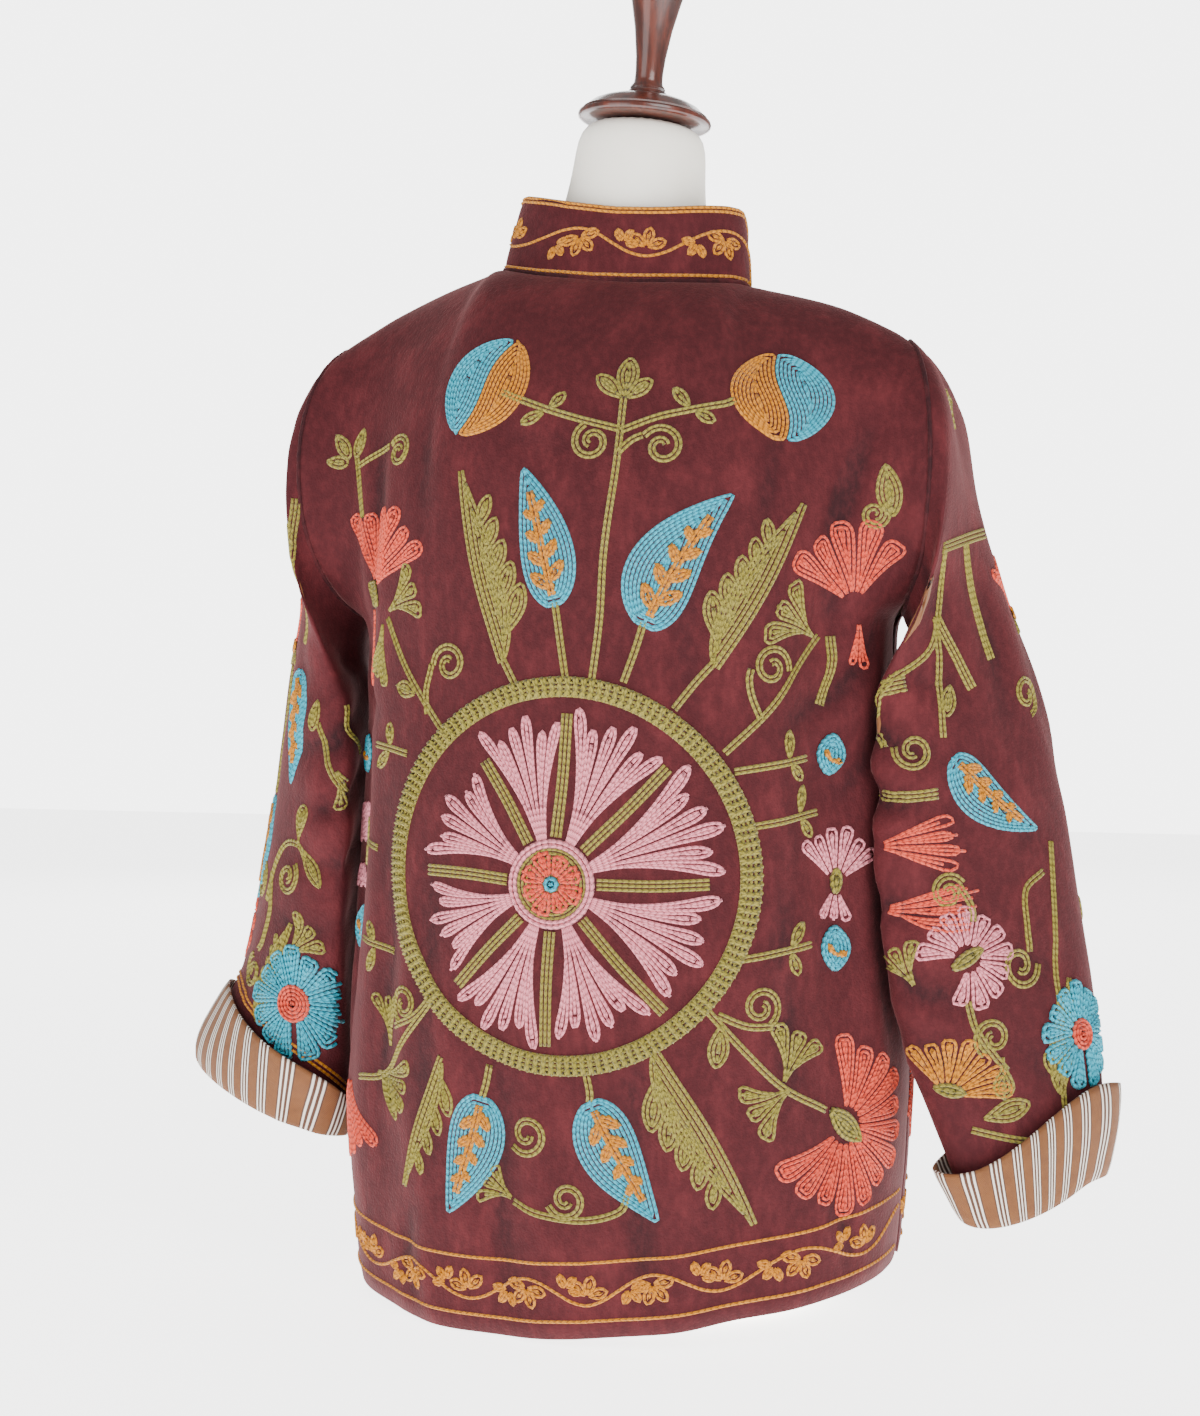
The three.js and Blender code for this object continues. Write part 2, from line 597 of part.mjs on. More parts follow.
// The stand collar follows the neckline from front edge to front edge.
function makeCollar() {
  const grid = [];
  for (let i = 0; i <= COLLAR_ROWS; i++) {
    const up = i / COLLAR_ROWS;
    const line = [];
    for (let j = -2 * NECK_COLUMNS; j <= 2 * NECK_COLUMNS; j++) {
      const place = -j / NECK_COLUMNS;
      const side = place < 0 ? -1 : 1;
      const towardsBack = Math.abs(place) <= 1;
      const share = NECK_SHARE * (towardsBack ? Math.abs(place) : 2 - Math.abs(place));
      const foot = topEdge(share, towardsBack);
      const lean = COLLAR_LEAN * up;
      const inwards = vec(-foot.x, -foot.y, 0).normalize();
      const front = towardsBack ? 0 : smooth(Math.abs(place) - 1);
      foot.x = side * (foot.x + inwards.x * lean * (1 - front));
      foot.y += inwards.y * lean * (1 - front) + COLLAR_FRONT_LEAN * front * up;
      foot.z += SEAM_GAP + mix(COLLAR_HEIGHT.back, COLLAR_HEIGHT.front, front) * up;
      line.push(leaned(foot));
    }
    grid.push(line);
  }
  return piece("collar", clothWall(grid, CLOTH, false), VELVET);
}

// Where a panel's outer face lies at one height, as points from the middle to the armhole.
const LINE_STEPS = 90;

function panelLine(z, towardsBack) {
  const line = [];
  for (let i = 0; i < LINE_STEPS; i++) {
    const share = i / LINE_STEPS;
    const top = topEdge(share, towardsBack).z;
    if (top < z) continue;
    line.push(bodyPoint(share, 1, towardsBack, { below: 1, up: (z - UNDERARM_Z) / (top - UNDERARM_Z) }));
  }
  return line;
}

// How deep the form may be at a place across it, under the cloth of the panel.
const EASE = 7;
const SIDE_REST = 8;

function roomUnder(line, x, seamY) {
  const after = line.findIndex((point) => point.x > x);
  let y = line[line.length - 1].y;
  if (after === 0) y = line[0].y;
  if (after > 0) {
    const [p, q] = [line[after - 1], line[after]];
    y = mix(p.y, q.y, (x - p.x) / (q.x - p.x));
  }
  const away = Math.abs(y - seamY);
  return Math.max(0, away - SIDE_REST * smooth(away / EASE));
}

// The dress form is one smooth solid from its flat base to the top of the neck.
const FORM_COLUMNS = 30;
const FORM_REST = CLOTH + FORM_CLEARANCE;

function formRing(section, centreY) {
  const ring = [];
  const fitted = section.z > UNDERARM_Z && section.z < NECK_POINT.z - 2 * FORM_REST;
  for (let j = 0; j < FORM_COLUMNS; j++) {
    const turn = (2 * Math.PI * j) / FORM_COLUMNS;
    const towardsBack = Math.sin(turn) > 0;
    const x = section.halfWidth * Math.cos(turn);
    let depth = (towardsBack ? section.back : section.front) * Math.abs(Math.sin(turn));
    if (fitted) {
      const cloth = panelLine(section.z + FORM_REST, towardsBack);
      depth = Math.min(depth, roomUnder(cloth, Math.abs(x), centreY));
    }
    ring.push(leaned(vec(x, centreY + (towardsBack ? depth : -depth), section.z)));
  }
  return ring;
}

function makeForm() {
  const rings = FORM_SECTIONS.map((section) => formRing(section, 0));
  for (const { x, back, front } of FORM_SHOULDERS) {
    const z = shoulderZ(x) - FORM_REST;
    const seamY = mix(NECK_POINT.y, SHOULDER_TIP.y, shoulderShare(x));
    rings.push(formRing({ z, halfWidth: x, back, front }, seamY));
  }
  for (const section of FORM_NECK) rings.push(formRing(section, NECK_CENTRE_Y));
  return piece("form_torso", loft(rings), JERSEY);
}

function turned(name, profile, segments) {
  const outline = profile.map((p) => new THREE.Vector2(p.r, p.h));
  return piece(name, new THREE.LatheGeometry(outline, segments).rotateX(Math.PI / 2), WOOD);
}

const jacket = new THREE.Group();
jacket.add(
  makeBack(),
  makeFront("front_left", 1),
  makeFront("front_right", -1),
  makeSleeve("sleeve_left", ARMS.left, 1),
  makeSleeve("sleeve_right", ARMS.right, -1),
  makeCuff("cuff_left", ARMS.left, 1),
  makeCuff("cuff_right", ARMS.right, -1),
  makeCollar(),
);

const dressForm = new THREE.Group();
const woodwork = new THREE.Group();
woodwork.add(turned("form_cap", CAP_PROFILE, CAP_SIDES));
woodwork.add(turned("form_finial", FINIAL_PROFILE, FINIAL_SIDES));
woodwork.position.set(-leanAt(NECK_TOP_Z), NECK_CENTRE_Y, NECK_TOP_Z);
woodwork.rotation.y = -radians(LEAN.degrees);
dressForm.add(makeForm(), woodwork);

const part = new THREE.Group();
part.add(jacket, dressForm);
export default part;
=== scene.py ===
# %% [markdown]
# A suzani jacket on a countertop dress form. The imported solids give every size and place, so they
# are loaded first and nothing is moved. Each cloth piece is then dressed as a thin shell on its own
# solid, and the embroidery is laid on the shells.

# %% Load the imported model
import math
import bmesh
import bpy
import numpy as np
from mathutils import Matrix, Vector, noise
from mathutils.bvhtree import BVHTree
from mathutils.kdtree import KDTree


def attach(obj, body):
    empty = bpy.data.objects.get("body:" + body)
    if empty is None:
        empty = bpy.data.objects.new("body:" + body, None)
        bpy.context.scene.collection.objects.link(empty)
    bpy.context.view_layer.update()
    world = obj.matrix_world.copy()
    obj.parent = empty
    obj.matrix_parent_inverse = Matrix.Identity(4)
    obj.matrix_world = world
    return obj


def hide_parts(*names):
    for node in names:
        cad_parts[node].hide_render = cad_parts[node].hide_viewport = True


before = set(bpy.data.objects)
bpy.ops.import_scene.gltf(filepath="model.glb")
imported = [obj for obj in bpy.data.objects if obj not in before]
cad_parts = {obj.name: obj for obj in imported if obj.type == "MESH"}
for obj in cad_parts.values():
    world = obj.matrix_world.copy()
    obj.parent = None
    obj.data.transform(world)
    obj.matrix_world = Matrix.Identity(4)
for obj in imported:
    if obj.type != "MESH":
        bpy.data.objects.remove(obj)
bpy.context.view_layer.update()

MM = 0.001

# %% [markdown]
# The camera stands behind the jacket, a little towards the wearer's right, at the height of the
# waist. Its distance follows from how far the collar and the hem round over.

# %% Camera
CAMERA_AZIMUTH = math.radians(196)
CAMERA_DISTANCE = 1.40
CAMERA_HEIGHT = 0.410
AIM_HEIGHT = 0.382
AIM_LEFT = 0.018
PHOTO_HEIGHT_PX = 1416
FOCAL_PX = 2121
SENSOR = 36

out = Vector((math.sin(CAMERA_AZIMUTH), -math.cos(CAMERA_AZIMUTH), 0))
picture_right = Vector((-out.y, out.x, 0)).normalized()
aim = -picture_right * AIM_LEFT + Vector((0, 0, AIM_HEIGHT))
lens = bpy.data.cameras.new("camera")
lens.lens = SENSOR * FOCAL_PX / PHOTO_HEIGHT_PX
lens.sensor_width = SENSOR
camera = bpy.data.objects.new("camera", lens)
bpy.context.scene.collection.objects.link(camera)
camera.location = out * CAMERA_DISTANCE + Vector((0, 0, CAMERA_HEIGHT))
camera.rotation_euler = (aim - camera.location).to_track_quat("-Z", "Y").to_euler()
bpy.context.scene.camera = camera
print("lens", round(lens.lens, 1), "mm")

# %% [markdown]
# Shader maths is easier to read as arithmetic. A Value wraps one output of a node, and plus, minus
# and times on it add the Math nodes. A Finish is one material: its plain numbers are set on the
# shader, and what changes over the cloth is linked to it.

# %% Shader helpers
class Value:
    def __init__(self, finish, socket):
        self.finish = finish
        self.socket = socket

    def maths(self, operation, *others):
        sockets = dict(enumerate((self, *others)))
        return self.finish.node("ShaderNodeMath", {"operation": operation}, sockets)

    def __add__(self, other):
        return self.maths("ADD", other)

    def __sub__(self, other):
        return self.maths("SUBTRACT", other)

    def __mul__(self, other):
        return self.maths("MULTIPLY", other)

    def __rsub__(self, other):
        return (self * -1) + other

    __radd__ = __add__
    __rmul__ = __mul__

    def fraction(self):
        return self.maths("FRACT")

    def size(self):
        return self.maths("ABSOLUTE")

    def sine(self):
        return self.maths("SINE")

    def within(self, low, high):
        """0 at low, 1 at high, and smooth between them."""
        sockets = {"Value": self, "From Min": low, "From Max": high}
        return self.finish.node("ShaderNodeMapRange", {"interpolation_type": "SMOOTHSTEP"}, sockets)


class Finish:
    def __init__(self, name, **fixed):
        self.material = bpy.data.materials.new(name)
        self.material.use_nodes = True
        self.nodes = self.material.node_tree.nodes
        self.links = self.material.node_tree.links
        self.shader = self.nodes["Principled BSDF"]
        for socket, value in fixed.items():
            self.shader.inputs[socket.replace("_", " ")].default_value = value

    def set(self, socket, value):
        if isinstance(value, Value):
            self.links.new(value.socket, socket)
        elif isinstance(value, tuple) and len(value) == 3 and socket.type == "RGBA":
            socket.default_value = (*value, 1)
        else:
            socket.default_value = value

    def node(self, kind, settings, sockets, output=0):
        made = self.nodes.new(kind)
        for key, value in settings.items():
            setattr(made, key, value)
        for key, value in sockets.items():
            self.set(made.inputs[key], value)
        return Value(self, made.outputs[output])

    def place(self):
        return self.node("ShaderNodeTexCoord", {}, {}, "Object")

    def uv(self, axis):
        point = self.node("ShaderNodeTexCoord", {}, {}, "UV")
        return self.node("ShaderNodeSeparateXYZ", {}, {0: point}, axis)

    def attribute(self, name, output="Fac"):
        return self.node("ShaderNodeAttribute", {"attribute_name": name}, {}, output)

    def noise(self, size, stretch=(1, 1, 1), detail=2.0, roughness=0.55):
        """Noise whose lumps are about size metres across, from 0 to 1."""
        point = self.node("ShaderNodeMapping", {}, {"Vector": self.place(), "Scale": stretch})
        sockets = {"Vector": point, "Scale": 1 / size, "Detail": detail, "Roughness": roughness}
        return self.node("ShaderNodeTexNoise", {}, sockets)

    def mixed(self, share, first, second, blend="MIX"):
        """The first colour where share is 0 and the second, or its blend with the first, where it is 1."""
        settings = {"data_type": "RGBA", "blend_type": blend}
        return self.node("ShaderNodeMix", settings, {0: share, 6: first, 7: second}, 2)

    def colour(self, value):
        self.set(self.shader.inputs["Base Color"], value)

    def bump(self, height, depth):
        """Relief of that height, whose full range stands depth metres proud."""
        sockets = {"Height": height, "Distance": depth, "Strength": 1.0}
        self.set(self.shader.inputs["Normal"], self.node("ShaderNodeBump", {}, sockets))


def tint(code):
    """A colour from its hexadecimal code, as the linear numbers that a shader takes."""
    parts = [int(code[i : i + 2], 16) / 255 for i in (1, 3, 5)]
    return tuple(c / 12.92 if c <= 0.04045 else ((c + 0.055) / 1.055) ** 2.4 for c in parts)


# %% [markdown]
# Velvet is short pile. It looks dark where we see into the pile and pale where it lies over, so the
# colour drifts between wine and a dusty rose in patches. Along the folds the colour carries painted
# light: painted shade darkens each trough and a painted highlight lightens each ridge. The shader's
# sheen brightens the edges, and the pile itself is a very fine bump.

# %% Velvet
WINE = tint("#3b0c12")
# the wine of the painted shade in the crease troughs
WINE_PAINTED_SHADE = tint("#26070d")
ROSE = tint("#68262a")

velvet = Finish("velvet", Roughness=0.85, Sheen_Weight=0.24, Sheen_Roughness=0.36)
velvet.shader.inputs["Sheen Tint"].default_value = (*tint("#df9896"), 1)
velvet.shader.inputs["Specular IOR Level"].default_value = 0.25
crushed = velvet.noise(0.022, (1, 1, 0.45), 5.0, 0.62).within(0.46, 0.72)
mottled = velvet.noise(0.0042, (1, 1, 0.6), 3.0, 0.6).within(0.35, 0.75)
# painted highlight on the crease ridges and painted shade in the crease troughs, from the fold attribute
ridge = velvet.attribute("fold").within(0.45, 1.0)
trough = velvet.attribute("fold").within(0.5, 0.1)
# pale patches of the pile, plus the painted highlight on the crease ridges
pale_pile_and_painted_highlight = (crushed * 0.3 + mottled * 0.22 + ridge * 0.3).maths("MINIMUM", 1.0)
velvet.colour(velvet.mixed(pale_pile_and_painted_highlight, velvet.mixed(trough, WINE, WINE_PAINTED_SHADE), ROSE))
velvet.bump(velvet.noise(0.0016, detail=2.0) + crushed * 0.5, 0.0005)

# %% [markdown]
# The lining is thin striped cotton: a tan ground with groups of three pale stripes. It shows on the
# turned-back cuffs, where the stripes run along the arm, so their place round the arm is the cuff's
# own UV map.

# %% Striped lining
TAN = tint("#5f3310")
TAN_PALE = tint("#7d4c1e")
STRIPE_WHITE = tint("#e8dfd2")
STRIPE_EDGE = tint("#3c2118")
STRIPE_PERIOD = 0.0158
STRIPE_PITCH = 0.0028
STRIPE_SIDE = (0.0008, 0.0004)
SHADOW_SIDE = (0.0017, 0.0011)
THREAD_PITCH = 0.0011


def stripes(finish, round_arm):
    """Groups of three pale stripes with dark edges, by the distance round the arm in metres."""
    across = (round_arm * (1 / STRIPE_PERIOD)).fraction() * STRIPE_PERIOD - STRIPE_PERIOD / 2
    pale = 0
    dark = 0
    for place in (-STRIPE_PITCH, 0, STRIPE_PITCH):
        away = (across - place).size()
        pale = away.within(*STRIPE_SIDE) + pale
        dark = away.within(*SHADOW_SIDE) + dark
    ground = finish.mixed(finish.noise(0.006, (1, 1, 1), 3.0), TAN, TAN_PALE)
    edged = finish.mixed(dark.maths("MINIMUM", 0.75), ground, STRIPE_EDGE)
    return finish.mixed(pale.maths("MINIMUM", 0.95), edged, STRIPE_WHITE)


lining = Finish("striped lining", Roughness=0.8, Sheen_Weight=0.04)
lining.colour(stripes(lining, lining.uv("X")))
warp, weft = ((lining.uv(axis) * (2 * math.pi / THREAD_PITCH)).sine() for axis in ("X", "Y"))
threads = warp * weft
lining.bump(threads * 0.3 + lining.noise(0.004) * 0.7, 0.0004)

inside = Finish("plain lining", Roughness=0.8, Sheen_Weight=0.1)
inside.colour(inside.mixed(inside.noise(0.008, detail=3.0), TAN, TAN_PALE))
inside.bump(inside.noise(0.0014), 0.0003)

# %% [markdown]
# The form is covered in smooth cream jersey, whose knit only shows as a faint grain. Its cap and
# finial are turned wood, stained reddish brown and varnished, with the grain running up them.

# %% Jersey and wood
CREAM = tint("#fcf8ee")
CREAM_DIM = tint("#f5eee0")
WOOD_RED = tint("#5b2415")
WOOD_DARK = tint("#33120b")

jersey = Finish("cream jersey", Roughness=0.72, Sheen_Weight=0.2)
jersey.colour(jersey.mixed(jersey.noise(0.03, detail=3.0), CREAM, CREAM_DIM))
jersey.bump(jersey.noise(0.0009, (1, 1, 2.2)), 0.00018)

wood = Finish("varnished wood", Roughness=0.3, Coat_Weight=0.6, Coat_Roughness=0.12)
grain = wood.noise(0.006, (1, 1, 0.09), 4.0, 0.65)
wood.colour(wood.mixed(grain.within(0.35, 0.68), WOOD_DARK, WOOD_RED))
wood.bump(grain, 0.0003)

# %% [markdown]
# The solids are stiff walls of few faces. A copy of each is merged, its outer wall is kept, and
# Catmull-Clark subdivision rounds it. Keeping the solid's own shape this way leaves every seam where
# it was cut.

# %% Outer walls of the cloth pieces
THIN_FACE = 0.0034
WELD = 0.00004
SHARP_DEGREES = 40


def middle_at(spine, height):
    """The point at that height on the line that runs up inside a piece."""
    if spine is None:
        return Vector((0, 0, height))
    heights = [p[2] for p in spine]
    x = np.interp(height, heights, [p[0] for p in spine])
    y = np.interp(height, heights, [p[1] for p in spine])
    return Vector((x, y, height))


def toward_outside(point, spine):
    """The direction away from the middle of the arm or neck, or of the body."""
    if spine is None:
        return point - Vector((0.6 * point.x, 0, min(point.z, 0.5)))
    return point - middle_at(spine, point.z)


def only(piece):
    """Makes piece the one selected and active object."""
    bpy.ops.object.select_all(action="DESELECT")
    piece.select_set(True)
    bpy.context.view_layer.objects.active = piece


def added(name, data):
    """A new object at the origin, the only one selected."""
    piece = bpy.data.objects.new(name, data)
    bpy.context.scene.collection.objects.link(piece)
    only(piece)
    return piece


def copied(node, name):
    """A copy of a solid, with no material yet."""
    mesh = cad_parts[node].data.copy()
    mesh.transform(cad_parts[node].matrix_world)
    mesh.materials.clear()
    return added(name, mesh)


def rounded(piece, levels):
    """Subdivides a piece until it is round."""
    smooth = piece.modifiers.new("rounding", "SUBSURF")
    smooth.levels = smooth.render_levels = levels
    bpy.ops.object.modifier_apply(modifier="rounding")


def walls_of(shape):
    """The walls of a cloth solid: its rim is a band of thin faces, which parts the two walls."""
    waiting = {face for face in shape.faces if min(edge.calc_length() for edge in face.edges) >= THIN_FACE}
    walls = []
    while waiting:
        front = [waiting.pop()]
        wall = []
        while front:
            face = front.pop()
            wall.append(face)
            beside = {other for edge in face.edges for other in edge.link_faces} & waiting
            waiting -= beside
            front.extend(beside)
        walls.append(wall)
    return walls


def outer_wall(node, name, spine, levels):
    """A smooth open sheet on the outer face of a cloth solid."""
    def outwardness(wall):
        outs = (face.normal.dot(toward_outside(face.calc_center_median(), spine)) for face in wall)
        return sum(face.calc_area() * out for face, out in zip(wall, outs))

    piece = copied(node, name)
    shape = bmesh.new()
    shape.from_mesh(piece.data)
    bmesh.ops.remove_doubles(shape, verts=shape.verts, dist=WELD)
    outer = set(max(walls_of(shape), key=outwardness))
    bmesh.ops.delete(shape, geom=[face for face in shape.faces if face not in outer], context="FACES")
    bmesh.ops.join_triangles(
        shape, faces=shape.faces, angle_face_threshold=0.9, angle_shape_threshold=1.2
    )
    shape.to_mesh(piece.data)
    shape.free()
    rounded(piece, levels)
    bpy.ops.object.shade_smooth()
    print(name, len(piece.data.polygons), "faces")
    return piece


def outer_copy(node, name, levels):
    """A smooth whole copy of a solid."""
    piece = copied(node, name)
    bpy.ops.object.mode_set(mode="EDIT")
    bpy.ops.mesh.select_all(action="SELECT")
    bpy.ops.mesh.remove_doubles(threshold=WELD)
    bpy.ops.mesh.tris_convert_to_quads()
    bpy.ops.object.mode_set(mode="OBJECT")
    rounded(piece, levels)
    bpy.ops.object.shade_smooth_by_angle(angle=math.radians(SHARP_DEGREES))
    return piece


ARM_LEFT = [
    (0.255, 0, 0.08), (0.24, 0, 0.2), (0.224, 0, 0.28), (0.206, 0, 0.4), (0.19, 0, 0.53), (0.186, 0, 0.64),
]
ARM_RIGHT = [
    (-0.262, 0.01, 0.04), (-0.246, 0.008, 0.18), (-0.228, 0.006, 0.28),
    (-0.212, 0.002, 0.4), (-0.194, 0, 0.53), (-0.19, 0, 0.64),
]
NECK = [(-0.004, 0.004, 0.5), (-0.01, 0.004, 0.8)]
SPINES = {
    "back": None, "front_left": None, "front_right": None, "collar": NECK,
    "sleeve_left": ARM_LEFT, "cuff_left": ARM_LEFT, "sleeve_right": ARM_RIGHT, "cuff_right": ARM_RIGHT,
}
ROUNDING = 2
SHELLS = {node: outer_wall(node, node + "_cloth", spine, ROUNDING) for node, spine in SPINES.items()}

# %% [markdown]
# Places on the jacket are given as a tailor would: how far round from the middle of the back, in
# degrees, and how high, in millimetres. A ray from the middle of the body or the arm finds the
# cloth there.

# %% Places on the cloth
FACING = 0.09


class Ground:
    """The outer face of one cloth piece, for laying things on."""

    def __init__(self, piece, spine):
        self.spine = spine
        self.tree = BVHTree.FromObject(piece, bpy.context.evaluated_depsgraph_get())

    def spot(self, degrees, millimetres):
        angle = math.radians(degrees)
        start = middle_at(self.spine, millimetres * MM)
        found = self.tree.ray_cast(start, Vector((math.sin(angle), math.cos(angle), 0)))
        return (found[0], found[1]) if found[0] is not None else None

    def under(self, point, normal, reach=FACING):
        """The cloth straight under a point that hangs before it, or None past the edge."""
        found = self.tree.ray_cast(point + normal * reach, -normal, 2.2 * reach)
        return (found[0], found[1]) if found[0] is not None else None


def smooth_path(points, spacing):
    """A smooth line through control points, as evenly spaced points."""
    knots = [Vector(p) for p in points]
    knots = [2 * knots[0] - knots[1], *knots, 2 * knots[-1] - knots[-2]]
    line = []
    for a, b, c, d in zip(knots, knots[1:], knots[2:], knots[3:]):
        steps = max(2, math.ceil((c - b).length / spacing))
        for i in range(steps):
            t = i / steps
            start = 2 * b + (c - a) * t + (2 * a - 5 * b + 4 * c - d) * t**2
            line.append(0.5 * (start + (3 * b - a - 3 * c + d) * t**3))
    line.append(knots[-2])
    return line


def heading(line, i):
    """The way that a line runs at its point i."""
    return line[min(i + 1, len(line) - 1)] - line[max(i - 1, 0)]


# %% [markdown]
# The largest folds are in the solids. The creases of worn velvet are added here, each placed as a
# soft trough with a low ridge beside it. The same field is kept as an attribute, so that painted
# shade can darken the velvet in a trough and a painted highlight can lighten it on a ridge.

# %% Creases
BACK_CREASES = [
    ([(-72, 560), (-66, 500), (-64, 430)], 3.2, 9),
    ([(-58, 575), (-50, 520), (-47, 470)], 1.5, 8),
    ([(-80, 440), (-70, 400), (-52, 372)], 2.6, 8),
    ([(-84, 400), (-74, 352), (-66, 330)], 1.8, 7),
    ([(-83, 330), (-76, 250), (-80, 150)], 2.4, 9),
    ([(-54, 330), (-50, 230), (-53, 120)], 1.7, 12),
    ([(-33, 500), (-30, 420), (-34, 350)], 1.1, 11),
    ([(-20, 200), (-17, 120), (-21, 20)], 1.8, 12),
    ([(-2, 340), (3, 240), (-1, 150)], 0.9, 13),
    ([(14, 180), (17, 100), (15, 10)], 1.6, 11),
    ([(33, 300), (37, 200), (34, 90)], 1.6, 12),
    ([(52, 330), (50, 230), (55, 100)], 2.0, 11),
    ([(64, 560), (60, 500), (63, 430)], 3.0, 9),
    ([(46, 570), (43, 520), (38, 480)], 1.4, 9),
    ([(80, 430), (70, 395), (54, 375)], 2.4, 8),
    ([(76, 300), (72, 220), (78, 120)], 2.2, 9),
    ([(-8, 620), (2, 612), (12, 618)], 0.8, 8),
    ([(22, 560), (10, 545), (-6, 548)], 0.8, 9),
    ([(-62, 90), (-66, 50), (-63, 20)], 2.0, 8),
    ([(40, 80), (44, 45), (41, 5)], 1.8, 8),
]
FRONT_CREASES = [
    ([(110, 560), (116, 500), (118, 430)], 2.8, 9),
    ([(130, 560), (138, 520), (146, 480)], 1.4, 9),
    ([(98, 430), (108, 398), (126, 376)], 2.4, 8),
    ([(104, 330), (108, 240), (103, 140)], 2.2, 9),
    ([(126, 340), (130, 240), (127, 110)], 1.7, 12),
    ([(150, 420), (153, 330), (149, 240)], 1.1, 12),
    ([(144, 180), (147, 100), (145, 20)], 1.7, 11),
    ([(163, 200), (161, 120), (164, 20)], 1.3, 10),
    ([(115, 90), (112, 55), (116, 20)], 1.8, 8),
]
RIGHT_ARM_CREASES = [
    ([(-20, 600), (10, 560), (30, 500)], 2.6, 9),
    ([(60, 540), (48, 490), (52, 440)], 3.4, 9),
    ([(20, 520), (0, 480), (-6, 430)], 2.2, 9),
    ([(62, 440), (30, 408), (-10, 396)], 3.0, 8),
    ([(70, 405), (40, 372), (4, 350)], 3.0, 8),
    ([(-60, 470), (-76, 420), (-80, 370)], 1.8, 9),
    ([(74, 350), (42, 330), (14, 322)], 3.2, 7),
    ([(78, 312), (50, 300), (22, 306)], 3.4, 7),
    ([(70, 280), (40, 262), (6, 262)], 2.6, 8),
    ([(-30, 345), (-60, 318), (-90, 300)], 2.0, 8),
    ([(66, 236), (38, 214), (10, 206)], 2.4, 8),
    ([(60, 190), (34, 172), (4, 160)], 2.2, 8),
    ([(-10, 256), (-50, 228), (-96, 222)], 1.6, 9),
    ([(-20, 180), (-60, 160), (-90, 130)], 1.6, 9),
    ([(160, 520), (140, 450), (150, 400)], 2.6, 9),
    ([(110, 420), (140, 388), (190, 372)], 2.8, 8),
    ([(104, 350), (136, 322), (180, 318)], 3.0, 8),
    ([(110, 290), (146, 262), (190, 262)], 2.4, 8),
    ([(112, 220), (150, 196), (200, 190)], 2.2, 9),
    ([(-140, 470), (-120, 400), (-128, 330)], 1.6, 10),
]
LEFT_ARM_CREASES = [
    ([(20, 600), (-4, 560), (-20, 500)], 2.4, 9),
    ([(-50, 540), (-40, 490), (-44, 440)], 3.2, 9),
    ([(-2, 520), (14, 470), (20, 420)], 1.8, 9),
    ([(-60, 446), (-30, 412), (14, 402)], 2.8, 8),
    ([(-60, 392), (-28, 362), (10, 352)], 2.8, 8),
    ([(-62, 342), (-34, 318), (4, 316)], 3.0, 7),
    ([(-64, 296), (-34, 278), (4, 282)], 2.6, 7),
    ([(-60, 250), (-30, 232), (12, 240)], 2.2, 8),
    ([(70, 420), (84, 350), (78, 290)], 1.8, 10),
    ([(10, 220), (44, 196), (80, 200)], 1.6, 9),
    ([(-160, 520), (-140, 450), (-150, 400)], 2.6, 9),
    ([(-110, 420), (-140, 388), (-190, 372)], 2.8, 8),
    ([(-104, 350), (-136, 322), (-180, 318)], 3.0, 8),
    ([(-110, 290), (-146, 262), (-190, 262)], 2.4, 8),
    ([(140, 470), (120, 400), (128, 330)], 1.6, 10),
]
LEFT_CUFF_CREASES = [
    ([(-40, 150), (-36, 120), (-40, 100)], 1.6, 7),
    ([(10, 170), (14, 140), (10, 112)], 1.8, 8),
    ([(150, 170), (146, 130), (150, 100)], 1.8, 8),
]
RIGHT_CUFF_CREASES = [
    ([(30, 130), (26, 100), (30, 60)], 1.6, 7),
    ([(-20, 130), (-26, 100), (-20, 60)], 1.8, 8),
    ([(160, 130), (150, 100), (158, 60)], 1.8, 8),
]


OTHER_SIDE_SHIFT = 7


def mirrored(creases):
    return [([(-degrees, height) for degrees, height in path], deep, wide) for path, deep, wide in creases]


def other_side(creases):
    """The right front hangs like the left one, but not quite."""
    moved = []
    for path, deep, wide in creases:
        moved.append(([(d + OTHER_SIDE_SHIFT / 2, z - OTHER_SIDE_SHIFT) for d, z in path], deep, wide))
    return mirrored(moved)


CREASES = {
    "back": BACK_CREASES,
    "front_left": FRONT_CREASES,
    "front_right": other_side(FRONT_CREASES),
    "sleeve_left": LEFT_ARM_CREASES,
    "sleeve_right": RIGHT_ARM_CREASES,
    "cuff_left": LEFT_CUFF_CREASES,
    "cuff_right": RIGHT_CUFF_CREASES,
    "collar": [],
}
CREASE_STEP = 0.004
RIDGE_SHARE = 0.5
RIDGE_AWAY = 1.9
UNEVEN = 0.0007
UNEVEN_SIZE = 0.035
SEAM_ROLL = 0.0008
SEAM_WIDTH = 0.004
FULL_FOLD = 0.006


